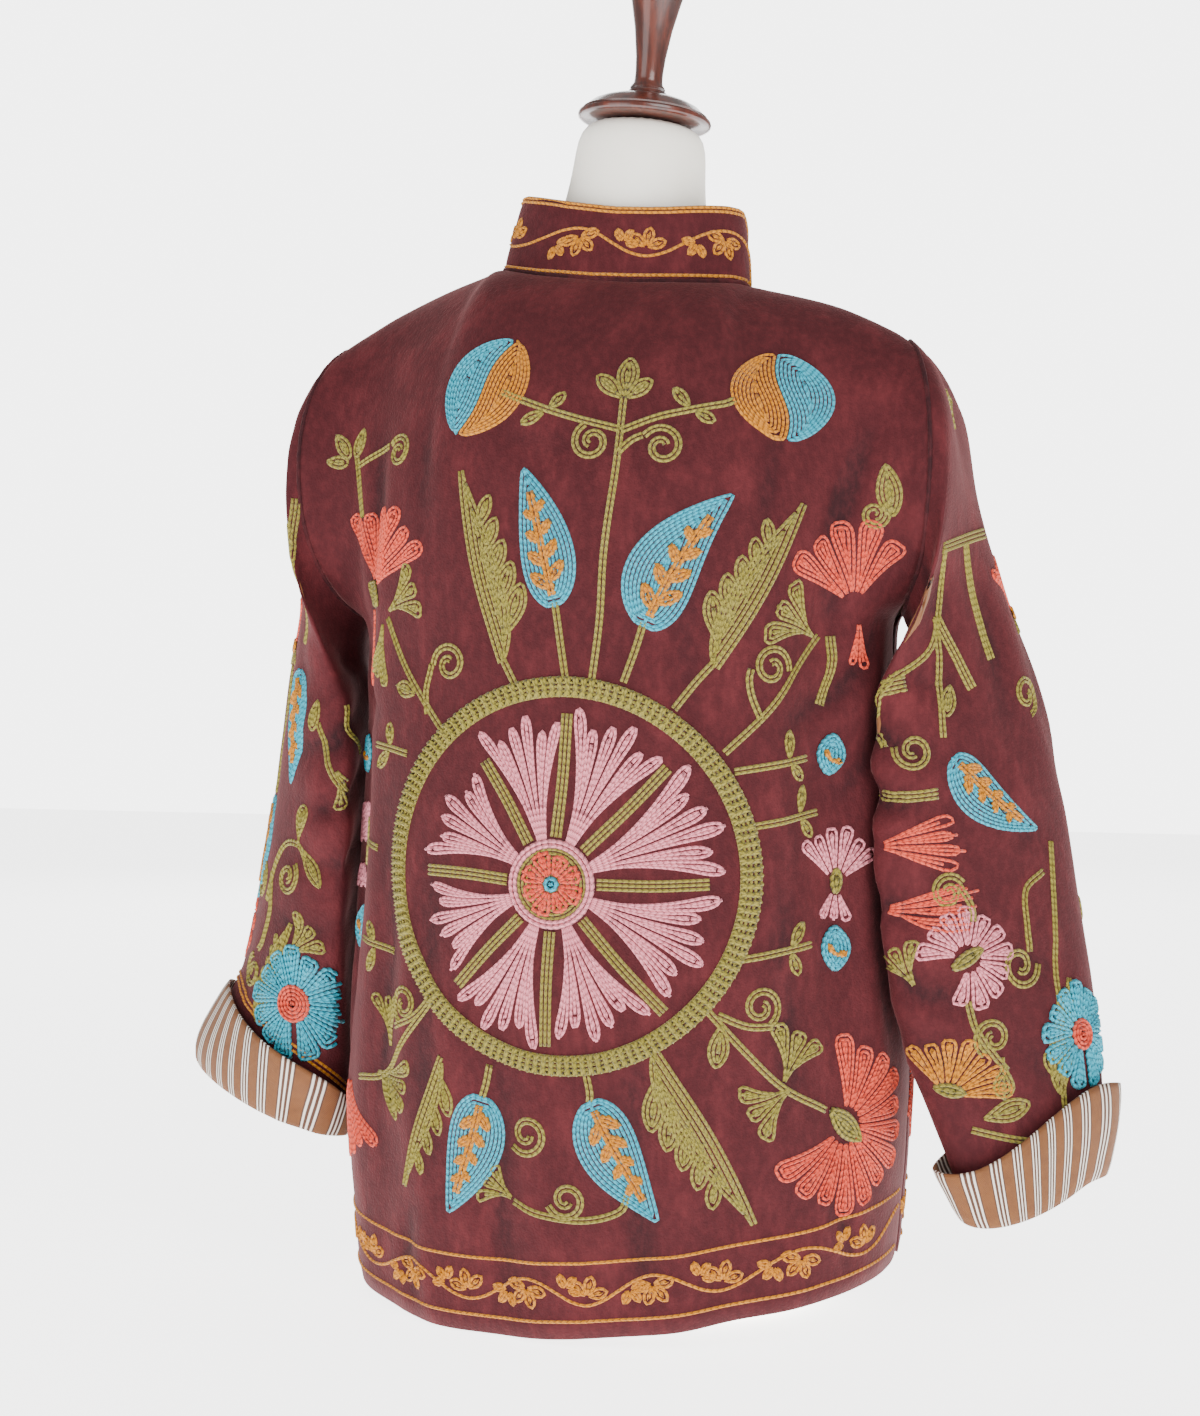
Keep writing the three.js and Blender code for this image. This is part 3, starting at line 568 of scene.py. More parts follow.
def crease(node, piece, creases):
    """Moves the points of a shell along their normals, into troughs and up on ridges."""
    ground = Ground(piece, SPINES[node])
    mesh = piece.data
    count = len(mesh.vertices)
    places = np.empty(count * 3)
    mesh.vertices.foreach_get("co", places)
    places = places.reshape(-1, 3)
    normals = np.empty(count * 3)
    mesh.vertices.foreach_get("normal", normals)
    normals = normals.reshape(-1, 3)
    rise = np.zeros(count)
    for path, deep, wide in creases:
        spots = [ground.spot(degrees, height) for degrees, height in path]
        spots = [spot[0] for spot in spots if spot]
        if len(spots) < 2:
            continue
        line = np.array([tuple(p) for p in smooth_path(spots, CREASE_STEP)])
        away = np.linalg.norm(places[:, None, :] - line[None, :, :], axis=2)
        nearest = away.argmin(axis=1)
        distance = away.min(axis=1) / (wide * MM)
        fade = np.sin(np.pi * (nearest + 0.5) / len(line)) ** 0.6
        trough = np.exp(-(distance**2))
        ridge = np.exp(-((distance - RIDGE_AWAY) ** 2))
        rise += deep * MM * fade * (RIDGE_SHARE * ridge - trough)
    for i in range(count):
        rise[i] += UNEVEN * noise.noise(Vector(places[i]) / UNEVEN_SIZE)
    # fold also drives painted shade in troughs and a painted highlight on ridges in the velvet's colour
    fold = np.clip(0.5 + rise / FULL_FOLD, 0, 1)
    rise -= SEAM_ROLL * np.exp(-((edge_distance(mesh, places) / SEAM_WIDTH) ** 2))
    places += normals * rise[:, None]
    mesh.vertices.foreach_set("co", places.ravel())
    mesh.attributes.new("fold", "FLOAT", "POINT").data.foreach_set("value", fold)
    mesh.update()
    print(node, "creases", len(creases), "deepest", round(float(-rise.min()) * 1000, 1), "mm")


def edge_distance(mesh, places):
    """How far each point is from the nearest cut edge of the piece."""
    shape = bmesh.new()
    shape.from_mesh(mesh)
    rim = [vertex.co.copy() for vertex in shape.verts if vertex.is_boundary]
    shape.free()
    tree = KDTree(len(rim))
    for i, point in enumerate(rim):
        tree.insert(point, i)
    tree.balance()
    return np.array([tree.find(place)[2] for place in places])


for node, piece in SHELLS.items():
    crease(node, piece, CREASES[node])
GROUNDS = {node: Ground(piece, SPINES[node]) for node, piece in SHELLS.items()}

# %% [markdown]
# Where two pieces are sewn together the allowance inside lifts the cloth into a low round ridge. A
# thin tube of velvet along the armholes and round the foot of the collar is that ridge. It also
# closes the hairline gap that the solids keep between pieces.

# %% Sewn seams
ARMHOLE_RIDGE = 0.0015
NECK_RIDGE = 0.0024
NECK_DROP = 0.0012
NECK_SINK = 0.0006
ROUND_NECK = range(-164, 165, 4)
COLLAR_FOOT = [half_mm / 2 for half_mm in range(1160, 1420)]
FEWEST_RIM_POINTS = 20


def seam_ridge(name, line, radius, closed):
    """A velvet tube along a line of points."""
    data = bpy.data.curves.new(name, "CURVE")
    data.dimensions = "3D"
    data.bevel_depth = radius
    data.bevel_resolution = 2
    data.use_fill_caps = True
    spline = data.splines.new("POLY")
    spline.points.add(len(line) - 1)
    for point, place in zip(spline.points, line):
        point.co = (*place, 1)
    spline.use_cyclic_u = closed
    added(name, data)
    bpy.ops.object.convert(target="MESH")
    bpy.ops.object.shade_smooth()
    piece = bpy.context.object
    piece.data.materials.clear()
    piece.data.materials.append(velvet.material)
    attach(piece, "root")
    return piece


def highest_rim(mesh):
    """The points of a piece's highest open edge, in order."""
    shape = bmesh.new()
    shape.from_mesh(mesh)
    ahead = {}
    for edge in shape.edges:
        if edge.is_boundary:
            for a, b in (edge.verts, reversed(edge.verts)):
                ahead.setdefault(a.index, []).append(b.index)
    shape.verts.ensure_lookup_table()
    places = {index: shape.verts[index].co.copy() for index in ahead}
    shape.free()
    rims = []
    while ahead:
        start = next(iter(ahead))
        rim = [start]
        while True:
            onward = [index for index in ahead.pop(rim[-1]) if index in ahead]
            if not onward:
                break
            rim.append(onward[0])
        rims.append([places[index] for index in rim])
    rims = [rim for rim in rims if len(rim) > FEWEST_RIM_POINTS]
    return max(rims, key=lambda rim: sum(place.z for place in rim) / len(rim))


def smoothed(rim):
    """Every second point of a closed line, each moved to the mean of five neighbours."""
    count = len(rim)
    return [sum((rim[(i + k) % count] for k in range(-2, 3)), Vector()) / 5 for i in range(0, count, 2)]


for side in ("left", "right"):
    rim = smoothed(highest_rim(SHELLS["sleeve_" + side].data))
    seam_ridge("armhole_seam_" + side, rim, ARMHOLE_RIDGE, True)

neck_line = []
for degrees in ROUND_NECK:
    spots = [GROUNDS["collar"].spot(degrees, height) for height in COLLAR_FOOT]
    spots = [spot for spot in spots if spot]
    if spots:
        point, normal = spots[0]
        neck_line.append(point - Vector((0, 0, NECK_DROP)) - normal * NECK_SINK)
print("neck seam of", len(neck_line), "points")
seam_ridge("neck_seam", neck_line, NECK_RIDGE, False)

# %% [markdown]
# The cuffs need a map of their own for the stripes: how far round the arm a point is, and how high,
# both in metres.

# %% Map of the cuffs
CUFF_RADIUS = 0.052


def wrap_map(piece, spine):
    layer = piece.data.uv_layers.new(name="round the arm")
    for face in piece.data.polygons:
        turns = []
        for loop in face.loop_indices:
            place = piece.data.vertices[piece.data.loops[loop].vertex_index].co
            away = place - middle_at(spine, place.z)
            turns.append(math.atan2(away.x, away.y))
        for loop, turn in zip(face.loop_indices, turns):
            if turn - turns[0] > math.pi:
                turn -= 2 * math.pi
            if turns[0] - turn > math.pi:
                turn += 2 * math.pi
            height = piece.data.vertices[piece.data.loops[loop].vertex_index].co.z
            layer.data[loop].uv = (turn * CUFF_RADIUS, height)


wrap_map(SHELLS["cuff_left"], ARM_LEFT)
wrap_map(SHELLS["cuff_right"], ARM_RIGHT)

# %% [markdown]
# Solidify then gives each shell its thickness, inwards, and the second material to its inner side,
# so the lining shows where we look up under the hem or into a sleeve.

# %% Thickness
CLOTH_THICKNESS = 0.0015

for node, piece in SHELLS.items():
    on_cuff = node.startswith("cuff")
    piece.data.materials.append(lining.material if on_cuff else velvet.material)
    piece.data.materials.append(lining.material if on_cuff else inside.material)
    only(piece)
    wall = piece.modifiers.new("thickness", "SOLIDIFY")
    wall.thickness = CLOTH_THICKNESS
    wall.offset = -1
    wall.material_offset = 1
    bpy.ops.object.modifier_apply(modifier="thickness")
    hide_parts(node)
    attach(piece, "root")
    area = sum(face.area for face in piece.data.polygons) / 2
    print(node, "shows", round(area, 4), "square metres")

# %% [markdown]
# Suzani is chain stitch: thick wool, one row beside the next, each shape filled from its outline
# inwards. So every motif here is a list of rows, and each row becomes a low ridge of its own on the
# cloth. A row has a UV map that runs along it, which the yarn's finish turns into links.

# %% Yarn colours
OLIVE = tint("#877c30")
GOLD = tint("#bf7806")
TURQUOISE = tint("#1f9fb6")
CORAL = tint("#d44731")
PINK = tint("#de8592")

ROW_PITCH = 0.0026
ROW_WIDTH = 0.0031
ROW_HEIGHT = 0.0011
ROW_SUNK = 0.0006
ROW_STEP = 0.0027
LAYER = 0.00104

# %% Rows that fill a shape
FINE_STEP = 1.5
COIL_TURNS = 1.35
VEIN_PAIRS = 4


def between(left_edge, right_edge, length, foot=0.0):
    """Rows, in millimetres, that fill the space between two edges from the outline inwards."""
    pitch = ROW_PITCH / MM
    steps = max(10, round((length - foot) / FINE_STEP))
    heights = [foot + (length - foot) * i / steps for i in range(steps + 1)]
    edges = [(left_edge(i / steps), right_edge(i / steps)) for i in range(steps + 1)]
    widest = max(right - left for left, right in edges)
    rows = []
    inset = pitch / 2
    while 2 * inset <= widest:
        inside = [
            (left + inset, right - inset, y)
            for (left, right), y in zip(edges, heights)
            if right - left >= 2 * inset and foot + inset * 0.7 <= y <= length - inset * 0.8
        ]
        if len(inside) > 2:
            left_side = [(left, y) for left, right, y in inside]
            right_side = [(right, y) for left, right, y in inside]
            rows.append(left_side + right_side[::-1] + [left_side[0]])
        inset += pitch
    return rows + leftover(edges, heights)


def leftover(edges, heights):
    """Single rows down the middle, where the shape is too thin for a loop or a gap is left."""
    pitch = ROW_PITCH / MM
    rows = [[]]
    for (left, right), y in zip(edges, heights):
        width = right - left
        gap = width if width < pitch else width - pitch - 2 * pitch * ((width - pitch) // (2 * pitch))
        rows[-1].append(((left + right) / 2, y))
        if width < 0.2 or (width > pitch and gap < 0.85 * pitch):
            rows.append([((left + right) / 2, y)])
    return [row for row in rows if len(row) > 3]


def leaf(length, width, bend=0.0, teeth=0, fullest=0.45):
    """A leaf that stands on its stalk. Bend carries its middle sideways, and teeth notch its sides."""
    power = math.log(0.5) / math.log(fullest)

    def half(t):
        body = width / 2 * math.sin(math.pi * min(1, max(0, t)) ** power) ** 0.75
        notch = 0.5 * (1 - (t * teeth) % 1) if teeth and t < 1 else 0
        return body * (1 - notch)

    def spine(t):
        return bend * math.sin(math.pi * t)

    return between(lambda t: spine(t) - half(t), lambda t: spine(t) + half(t), length)


def paisley(length, width, hook):
    """A drop that is fullest low down and whose tip bends over."""
    def half(t):
        return width / 2 * math.sin(math.pi * t**0.62) ** 0.8

    def spine(t):
        return hook * (t**2.4 - 0.5 * math.sin(math.pi * t))

    return between(lambda t: spine(t) - half(t), lambda t: spine(t) + half(t), length)


def half_bud(length, width, side):
    """One half of a bud. The line where the two colours meet is a long S."""
    def seam(t):
        return 0.05 * width * math.sin(2 * math.pi * t)

    def round_edge(t):
        return side * width / 2 * max(0, math.sin(math.pi * t)) ** 0.55

    edges = (seam, round_edge) if side > 0 else (round_edge, seam)
    return between(*edges, length)


def on_circle(radius, angle):
    """A point that far from the foot, clockwise from up."""
    return (radius * math.sin(angle), radius * math.cos(angle))


def disc(radius, hole=0.0):
    """Rings from the outside in."""
    pitch = ROW_PITCH / MM
    rows = []
    at = radius - pitch / 2
    while at > max(hole, 0.6):
        count = max(8, math.ceil(2 * math.pi * at / 3))
        rows.append([on_circle(at, 2 * math.pi * i / count) for i in range(count + 1)])
        at -= pitch
    return rows


def braid(radius, hole):
    """A band of short stitches that lean a little, from its inner edge to its outer."""
    count = round(2 * math.pi * radius / (ROW_PITCH / MM))
    rows = []
    for k in range(count):
        angle = 2 * math.pi * k / count
        odd = k % 2
        lean = 0.022 if odd else -0.012
        inner = on_circle(hole - 0.4 * odd, angle)
        outer = on_circle(radius + 0.5 * odd, angle)
        rows.append([inner, on_circle(0.5 * (hole + radius), angle + lean), outer])
    return rows


def even(row, spacing, scale=1.0):
    """The same line with points at even distances, times scale."""
    points = np.array(row, dtype=float)
    run = np.concatenate(([0], np.cumsum(np.hypot(*np.diff(points, axis=0).T))))
    at = np.linspace(0, run[-1], max(3, math.ceil(run[-1] / spacing) + 1))
    across, along = (np.interp(at, run, points[:, axis]) for axis in (0, 1))
    return [(scale * x, scale * y) for x, y in zip(across, along)]


def turned(rows, degrees, shift=(0, 0)):
    """The same rows, turned clockwise about the foot and moved."""
    angle = math.radians(degrees)
    c, s = math.cos(angle), math.sin(angle)
    return [[(x * c + y * s + shift[0], y * c - x * s + shift[1]) for x, y in row] for row in rows]


def stroke(points, count):
    """Rows side by side along a line."""
    line = [Vector((x, y, 0)) for x, y in points]
    line = smooth_path(line, 3)
    rows = []
    for k in range(count):
        off = (k - (count - 1) / 2) * ROW_PITCH / MM
        row = []
        for i, p in enumerate(line):
            ahead = heading(line, i).normalized()
            row.append((p.x - ahead.y * off, p.y + ahead.x * off))
        rows.append(row)
    return rows


def coil(radius, start, hand=1):
    """A tendril rolled about its middle. It begins at start degrees, and hand 1 rolls clockwise."""
    points = []
    for i in range(19):
        angle = math.radians(start + 360 * COIL_TURNS * hand * i / 18)
        points.append(on_circle(radius * (1 - 0.78 * i / 18), angle))
    return stroke(points, 2)


def sprig(length, hook=0.0):
    """The gold vein that lies inside a turquoise leaf: a stalk with paired leaflets."""
    rows = stroke([(hook * (t / 6) ** 2, length * t / 6) for t in range(7)], 2)
    for k in range(VEIN_PAIRS):
        t = 0.1 + 0.66 * k / (VEIN_PAIRS - 1)
        size = length * 0.27 * (1 - 0.45 * t)
        for side in (-1, 1):
            rows += turned(leaf(size, size * 0.5), 44 * side, (hook * t**2, length * (t + 0.03 * side)))
    return rows


def feather(length, width, lobes, side):
    """A long leaf whose lobes all grow from one side of its stalk, towards the tip."""
    def bow(t):
        return -side * 0.1 * width * math.sin(math.pi * t)

    def belly(t):
        return bow(t) + side * 0.42 * width * math.sin(math.pi * t**0.72) ** 0.9

    edges = (bow, belly) if side > 0 else (belly, bow)
    rows = between(*edges, length)
    rows += stroke([(bow(i / 7) - side * 0.9, length * i / 7) for i in range(8)], 2)
    for k in range(lobes):
        t = 0.1 + 0.56 * k / (lobes - 1)
        size = length * (0.33 - 0.17 * t)
        root = (bow(t) + side * 0.12 * width, length * t)
        rows += turned(leaf(size, size * 0.4, fullest=0.62), 34 * side, root)
    return rows


def couple(size, spread=66):
    """Two leaves, one on each side of a stem."""
    rows = []
    for side in (-1, 1):
        rows += turned(leaf(size * (1 - 0.08 * side), size * 0.5, fullest=0.58), spread * side)
    return rows


def club(size, spread=86):
    """One leaf with three round lobes."""
    return fan(3, 2, size, spread, 0.35)


def fan(count, hub, reach, spread, flare=0.5):
    """Petals side by side that open from a narrow root, as on a carnation seen from the side."""
    rows = []
    share = math.radians(spread) / count
    for k in range(count):
        middle = share * (k + 0.5 - count / 2)
        length = reach * (1 - 0.05 * ((2 * k) % 3))

        def edge(t, way):
            opened = flare + (1 - flare) * t
            tip = math.sqrt(max(0, 1 - max(0, (t - 0.82) / 0.18) ** 2))
            side = middle + way * share / 2 * tip * (1 - 0.12 * t * t)
            return (hub + (length - hub) * t) * opened * side

        petal = between(lambda t: edge(t, -1), lambda t: edge(t, 1), length, hub)
        rows += [[on_circle(y, x / y) for x, y in row] for row in petal]
    return rows


# %% [markdown]
# A motif is drawn flat and then laid on the cloth at its spot: its rows hang just before the cloth
# and each point drops on to it. Where a row runs off the piece it ends at the seam, as cut cloth
# does.

# %% Laying rows on the cloth
STEM_REACH = 0.006


class Needlework:
    """All the embroidery of one cloth piece."""

    def __init__(self, name, ground):
        self.name = name
        self.ground = ground
        self.corners = []
        self.faces = []
        self.maps = []
        self.colours = []
        self.length = 0

    def ridge(self, points, normals, colour, layer):
        """One row: a closed three-sided tube, flat side down, that follows the points."""
        if len(points) < 3:
            return
        base = len(self.corners)
        along = 0
        run = []
        for i, (point, normal) in enumerate(zip(points, normals)):
            side = normal.cross(heading(points, i)).normalized() * ROW_WIDTH / 2
            foot = point + normal * (layer * LAYER - ROW_SUNK)
            top = point + normal * (layer * LAYER + ROW_HEIGHT)
            self.corners += [foot - side, top, foot + side]
            if i:
                along += (point - points[i - 1]).length
            run.append(along)
        self.length += along
        for i in range(len(points) - 1):
            a = base + 3 * i
            u, w = run[i], run[i + 1]
            for j, k, low, high in ((0, 1, -1, 0), (1, 2, 0, 1), (2, 0, 1, -1)):
                self.faces.append((a + j, a + k, a + 3 + k, a + 3 + j))
                self.maps += [(u, low), (u, high), (w, high), (w, low)]
                self.colours += [colour] * 4
        last = base + 3 * (len(points) - 1)
        self.faces += [(base + 2, base + 1, base), (last, last + 1, last + 2)]
        self.maps += [(0, 1), (0, 0), (0, -1), (along, -1), (along, 0), (along, 1)]
        self.colours += [colour] * 6

    def drop(self, line, facing, colour, layer):
        """Drops a line of points on to the cloth and makes a ridge of each stretch that lands."""
        points = []
        normals = []
        for point in line:
            landed = self.ground.under(point, facing)
            if landed is None:
                self.ridge(points, normals, colour, layer)
                points, normals = [], []
            else:
                points.append(landed[0])
                normals.append(landed[1])
        self.ridge(points, normals, colour, layer)

    def lay(self, rows, place, colour, turn=0.0, layer=0):
        """Lays a flat motif with its foot at (degrees, millimetres), turned clockwise."""
        spot = self.ground.spot(*place)
        if spot is None:
            print(self.name, "has no cloth at", place)
            return
        centre, normal = spot
        up = (Vector((0, 0, 1)) - normal * normal.z).normalized()
        right = up.cross(normal)
        for row in turned(rows, turn):
            line = [centre + right * x + up * y for x, y in even(row, ROW_STEP / MM, MM)]
            self.drop(line, normal, colour, layer)

    def stem(self, places, colour, count=2):
        """Rows side by side along a line of places on the cloth."""
        spots = [self.ground.spot(*place) for place in places]
        spots = [spot for spot in spots if spot]
        if len(spots) < 2:
            return
        line = smooth_path([spot[0] for spot in spots], ROW_STEP)
        for k in range(count):
            off = (k - (count - 1) / 2) * ROW_PITCH
            points = []
            normals = []
            for i, p in enumerate(line):
                near, normal = self.ground.tree.find_nearest(p)[:2]
                side = heading(line, i).normalized().cross(normal)
                landed = self.ground.under(near + side * off, normal, STEM_REACH)
                if landed:
                    points.append(landed[0])
                    normals.append(landed[1])
            self.ridge(points, normals, colour, 0)

    def make(self):
        """Builds the mesh, with the yarn's colour and the map along each row."""
        mesh = bpy.data.meshes.new(self.name)
        mesh.from_pydata(self.corners, [], self.faces)
        along = mesh.uv_layers.new(name="along the row")
        along.data.foreach_set("uv", [number for pair in self.maps for number in pair])
        dye = mesh.color_attributes.new("dye", "FLOAT_COLOR", "CORNER")
        dye.data.foreach_set("color", [number for colour in self.colours for number in (*colour, 1)])
        piece = added(self.name, mesh)
        bpy.ops.object.shade_smooth()
        mesh.materials.append(yarn.material)
        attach(piece, "root")
        print(self.name, round(self.length, 1), "m of stitching,", len(self.faces) * 2, "triangles")
        return piece


# %% [markdown]
# Each link of a chain stitch is a small teardrop, and a row of them reads as a plait of V shapes.
# The V comes from adding the distance across the row to the distance along it before taking the
# fraction. The wool itself is uneven in colour along its length, and between the links its colour is
# darkened as painted shade.

# %% Yarn finish
LINK = 0.0040
# the factor of the painted shade between links
WOOL_PAINTED_SHADE = (0.5, 0.46, 0.44)
WOOL_PALE = (0.035, 0.03, 0.022)

yarn = Finish("chain stitched wool", Roughness=0.85, Sheen_Weight=0.12, Sheen_Roughness=0.5)
yarn.shader.inputs["Specular IOR Level"].default_value = 0.2
across = yarn.uv("Y").size()
phase = (yarn.uv("X") * (1 / LINK) + across * 0.45).fraction()
link = (phase * math.pi).sine()
furrow = across.within(0.0, 0.28)
dye = yarn.attribute("dye", "Color")
shade = yarn.noise(0.0055, detail=3.0).within(0.3, 0.7)
# painted shade for the gaps between links
painted_gap_shade = yarn.mixed(1.0, dye, WOOL_PAINTED_SHADE, "MULTIPLY")
paler = yarn.mixed(1.0, dye, WOOL_PALE, "SCREEN")
body = yarn.mixed(shade, dye, paler)
# painted shade darkens the colour between the links
yarn.colour(yarn.mixed((1 - link.within(0.1, 0.62)) * 0.75, body, painted_gap_shade))
yarn.bump(link * 0.75 + furrow * 0.25, 0.0009)

# %% [markdown]
# The back. A ring holds a rosette of eight pink carnations between eight olive spokes, and round it
# grow paired leaves, buds, curls and flowers. Paired motifs are alike but not equal, because each
# was drawn and stitched by hand.

# %% Embroidery of the back
# each carnation of the rosette: degrees, reach and spread, and then each spoke: degrees and reach
FANS = [
    (-13, 0.97, 36), (25, 1.01, 39), (67, 1.03, 43), (113, 0.96, 45),
    (159, 0.91, 43), (203, 0.94, 41), (249, 0.8, 45), (302, 0.82, 48),
]
BARS = [(5, 0.96), (45, 0.93), (89, 0.89), (137, 0.95), (182, 0.91), (224, 0.82), (274, 0.78), (329, 0.8)]


def medallion(work, ring_place, rosette_place, radius, turn=0):
    """A ring with a rosette, carnations and bars inside it. The rosette is a little off the middle."""
    inner = radius - 13
    hole = radius * 0.225
    work.lay(disc(radius, inner), ring_place, OLIVE)
    work.lay(braid(radius - 1, inner + 1), ring_place, OLIVE, layer=1)
    for angle, reach, spread in FANS:
        work.lay(turned(fan(6, hole, inner * reach, spread, 0.3), angle + turn), rosette_place, PINK)
    for angle, reach in BARS:
        start, stop = hole * 1.05, inner * reach
        bar = stroke([(0, start), (0.9, (start + stop) / 2), (0, stop)], 3)
        work.lay(turned(bar, angle + turn), rosette_place, OLIVE)
    work.lay(disc(hole, radius * 0.185), rosette_place, PINK, layer=1)
    work.lay(disc(radius * 0.185), rosette_place, OLIVE)
    work.lay(fan(8, radius * 0.035, radius * 0.172, 360, 1.0), rosette_place, CORAL, layer=1)
    work.lay(disc(radius * 0.04), rosette_place, TURQUOISE, layer=2)


def veined_leaf(work, place, turn, length, width, hook):
    """A turquoise leaf with a gold sprig inside."""
    work.lay(paisley(length, width, hook), place, TURQUOISE, turn)
    work.lay(turned(sprig(length * 0.72, hook * 0.5), 0, (0, length * 0.08)), place, GOLD, turn, 1)


def carnation(work, place, turn, size, count=7, spread=100, heart=GOLD, petals=CORAL):
    """A flower seen from the side: petals, an oval heart and sepals under it."""
    work.lay(fan(count, size * 0.16, size, spread, 0.9), place, petals, turn)
    work.lay(turned(leaf(size * 0.36, size * 0.24), 90, (-size * 0.18, size * 0.08)), place, heart, turn, 1)
    for side in (-1, 1):
        work.lay(turned(leaf(size * 0.42, size * 0.2), 118 * side), place, OLIVE, turn)


def seam_flower(work, place, turn, size, petals=CORAL, heart=OLIVE):
    """A round flower, of which the seam may cut a part."""
    work.lay(fan(15, size * 0.28, size, 360, 1.0), place, petals, turn)
    work.lay(disc(size * 0.3), place, heart, turn)


def bud(work, place, turn, length, width, left_colour, right_colour):
    work.lay(half_bud(length, width, -1), place, left_colour, turn)
    work.lay(half_bud(length, width, 1), place, right_colour, turn)


def heart(work, place, turn, length, width, colour):
    """An oval centred on its place."""
    work.lay(turned(leaf(length, width, fullest=0.5), 0, (0, -length / 2)), place, colour, turn, 1)


back = Needlework("back_embroidery", GROUNDS["back"])
medallion(back, (1, 284), (3, 279), 120)

# the tree above the ring
back.stem([(-7, 402), (-9, 440), (-10, 479), (-13, 530), (-15, 572)], OLIVE)
back.lay(leaf(29, 15, fullest=0.55), (-15.3, 571), OLIVE, 3)
back.lay(couple(24, 48), (-15, 570), OLIVE, 3)
back.stem([(-14, 552), (-2, 559), (7, 565), (16, 572), (23, 578)], OLIVE)
back.lay(couple(18, 78), (8, 565), OLIVE, -36)
back.stem([(-14, 551), (-24, 559), (-32, 563), (-41, 567), (-44.5, 570)], OLIVE)
back.lay(couple(18, 76), (-33, 563), OLIVE, 40)
back.lay(coil(12, -24, -1), (-6, 545), OLIVE)
back.stem([(-13.5, 538), (-17, 545), (-20, 548)], OLIVE)
back.lay(coil(13, -58, 1), (-25, 541), OLIVE)
bud(back, (34, 553), 25, 68, 58, TURQUOISE, GOLD)
bud(back, (-55.5, 545), 1, 60, 68, GOLD, TURQUOISE)
veined_leaf(back, (3, 445), -12, 90, 35, -5)
back.stem([(3, 448), (1.5, 425), (0, 402)], OLIVE)
veined_leaf(back, (-20, 432), 25, 96, 44, 14)
back.stem([(-20, 436), (-18, 420), (-15, 400)], OLIVE)
back.lay(feather(122, 40, 5, 1), (17, 412), OLIVE, -15)
back.stem([(17, 414), (15, 405), (13, 396)], OLIVE)
back.lay(feather(112, 44, 5, -1), (-36, 409), OLIVE, 28)
back.stem([(-36, 412), (-32, 400), (-27, 384)], OLIVE)

# the flower and leaves at the left
back.lay(leaf(22, 11), (70, 545), OLIVE, 12)
back.lay(leaf(22, 11), (71, 545), OLIVE, -36)
back.lay(leaf(18, 10), (71, 543), OLIVE, -88)
back.stem([(70, 548), (68, 530), (66, 506)], OLIVE)
back.stem([(69, 540), (64, 548), (60, 551)], OLIVE)
back.lay(coil(11, -60, 1), (55, 546), OLIVE)
back.lay(fan(6, 9, 60, 104, 0.9), (60, 456), CORAL, 14)
back.lay(fan(2, 6, 56, 30, 0.6), (62, 452), CORAL, 188)
heart(back, (60, 456), 122, 28, 15, OLIVE)
back.lay(club(36), (52, 444), OLIVE, 62)
back.lay(club(42, 60), (54, 438), OLIVE, 196)
back.stem([(52, 440), (46, 412), (39, 388), (32, 366)], OLIVE)
back.lay(leaf(21, 12, fullest=0.6), (41, 392), OLIVE, -74)
back.stem([(38, 380), (38.5, 394), (37.5, 406), (37, 411)], OLIVE)
back.lay(coil(12.5, -92, 1), (32, 411), OLIVE)

# the flower and leaves at the right
back.lay(leaf(34, 17), (-73, 500), OLIVE, -8)
back.lay(coil(9, 40, 1), (-71, 502), OLIVE)
back.lay(fan(5, 8, 54, 110, 0.9), (-70, 446), CORAL, -12)
back.lay(fan(2, 5, 34, 40, 0.8), (-72, 440), CORAL, 176)
back.lay(club(42), (-62, 427), OLIVE, -60)
back.stem([(-63, 428), (-56, 408), (-49, 386), (-38, 358)], OLIVE)
back.stem([(-66, 428), (-66, 410), (-64, 386)], OLIVE, 3)
back.stem([(-46, 378), (-44, 392), (-43.5, 402), (-44, 408)], OLIVE)
back.lay(coil(13, 100, -1), (-49, 409), OLIVE)

# twigs, buds and small flowers round the ring
for degrees, height, turn in ((-53, 352, 68), (-56, 319, 76), (-52, 240, 96)):
    back.lay(couple(19, 62), (degrees, height), OLIVE, turn)
    back.stem([(degrees + 13, height - 5), (degrees, height), (degrees - 6, height + 2)], OLIVE)
for degrees, height, turn in ((50, 358, -68), (61, 297, -84), (55, 233, -96)):
    back.lay(couple(19, 62), (degrees, height), OLIVE, turn)
    back.stem([(degrees - 6, height - 3), (degrees, height), (degrees + 6, height + 2)], OLIVE)
BEADS = ((-66, 356, 26, 10), (-65, 238, 28, 0), (76, 352, 26, -8), (73, 238, 30, 4))
for degrees, height, size, turn in BEADS:
    heart(back, (degrees, height), turn, size, size * 0.8, TURQUOISE)
    back.lay(couple(size * 0.36), (degrees, height - 4), GOLD, turn + 20, 2)
back.lay(fan(6, 6, 38, 120, 0.85), (-66, 276), PINK, 6)
back.lay(fan(3, 5, 26, 70, 0.85), (-66, 278), PINK, 186)
heart(back, (-66, 279), 4, 18, 9, OLIVE)
back.lay(fan(5, 6, 36, 110, 0.85), (77, 286), PINK, -4)
back.lay(fan(3, 5, 26, 70, 0.85), (77, 286), PINK, 176)

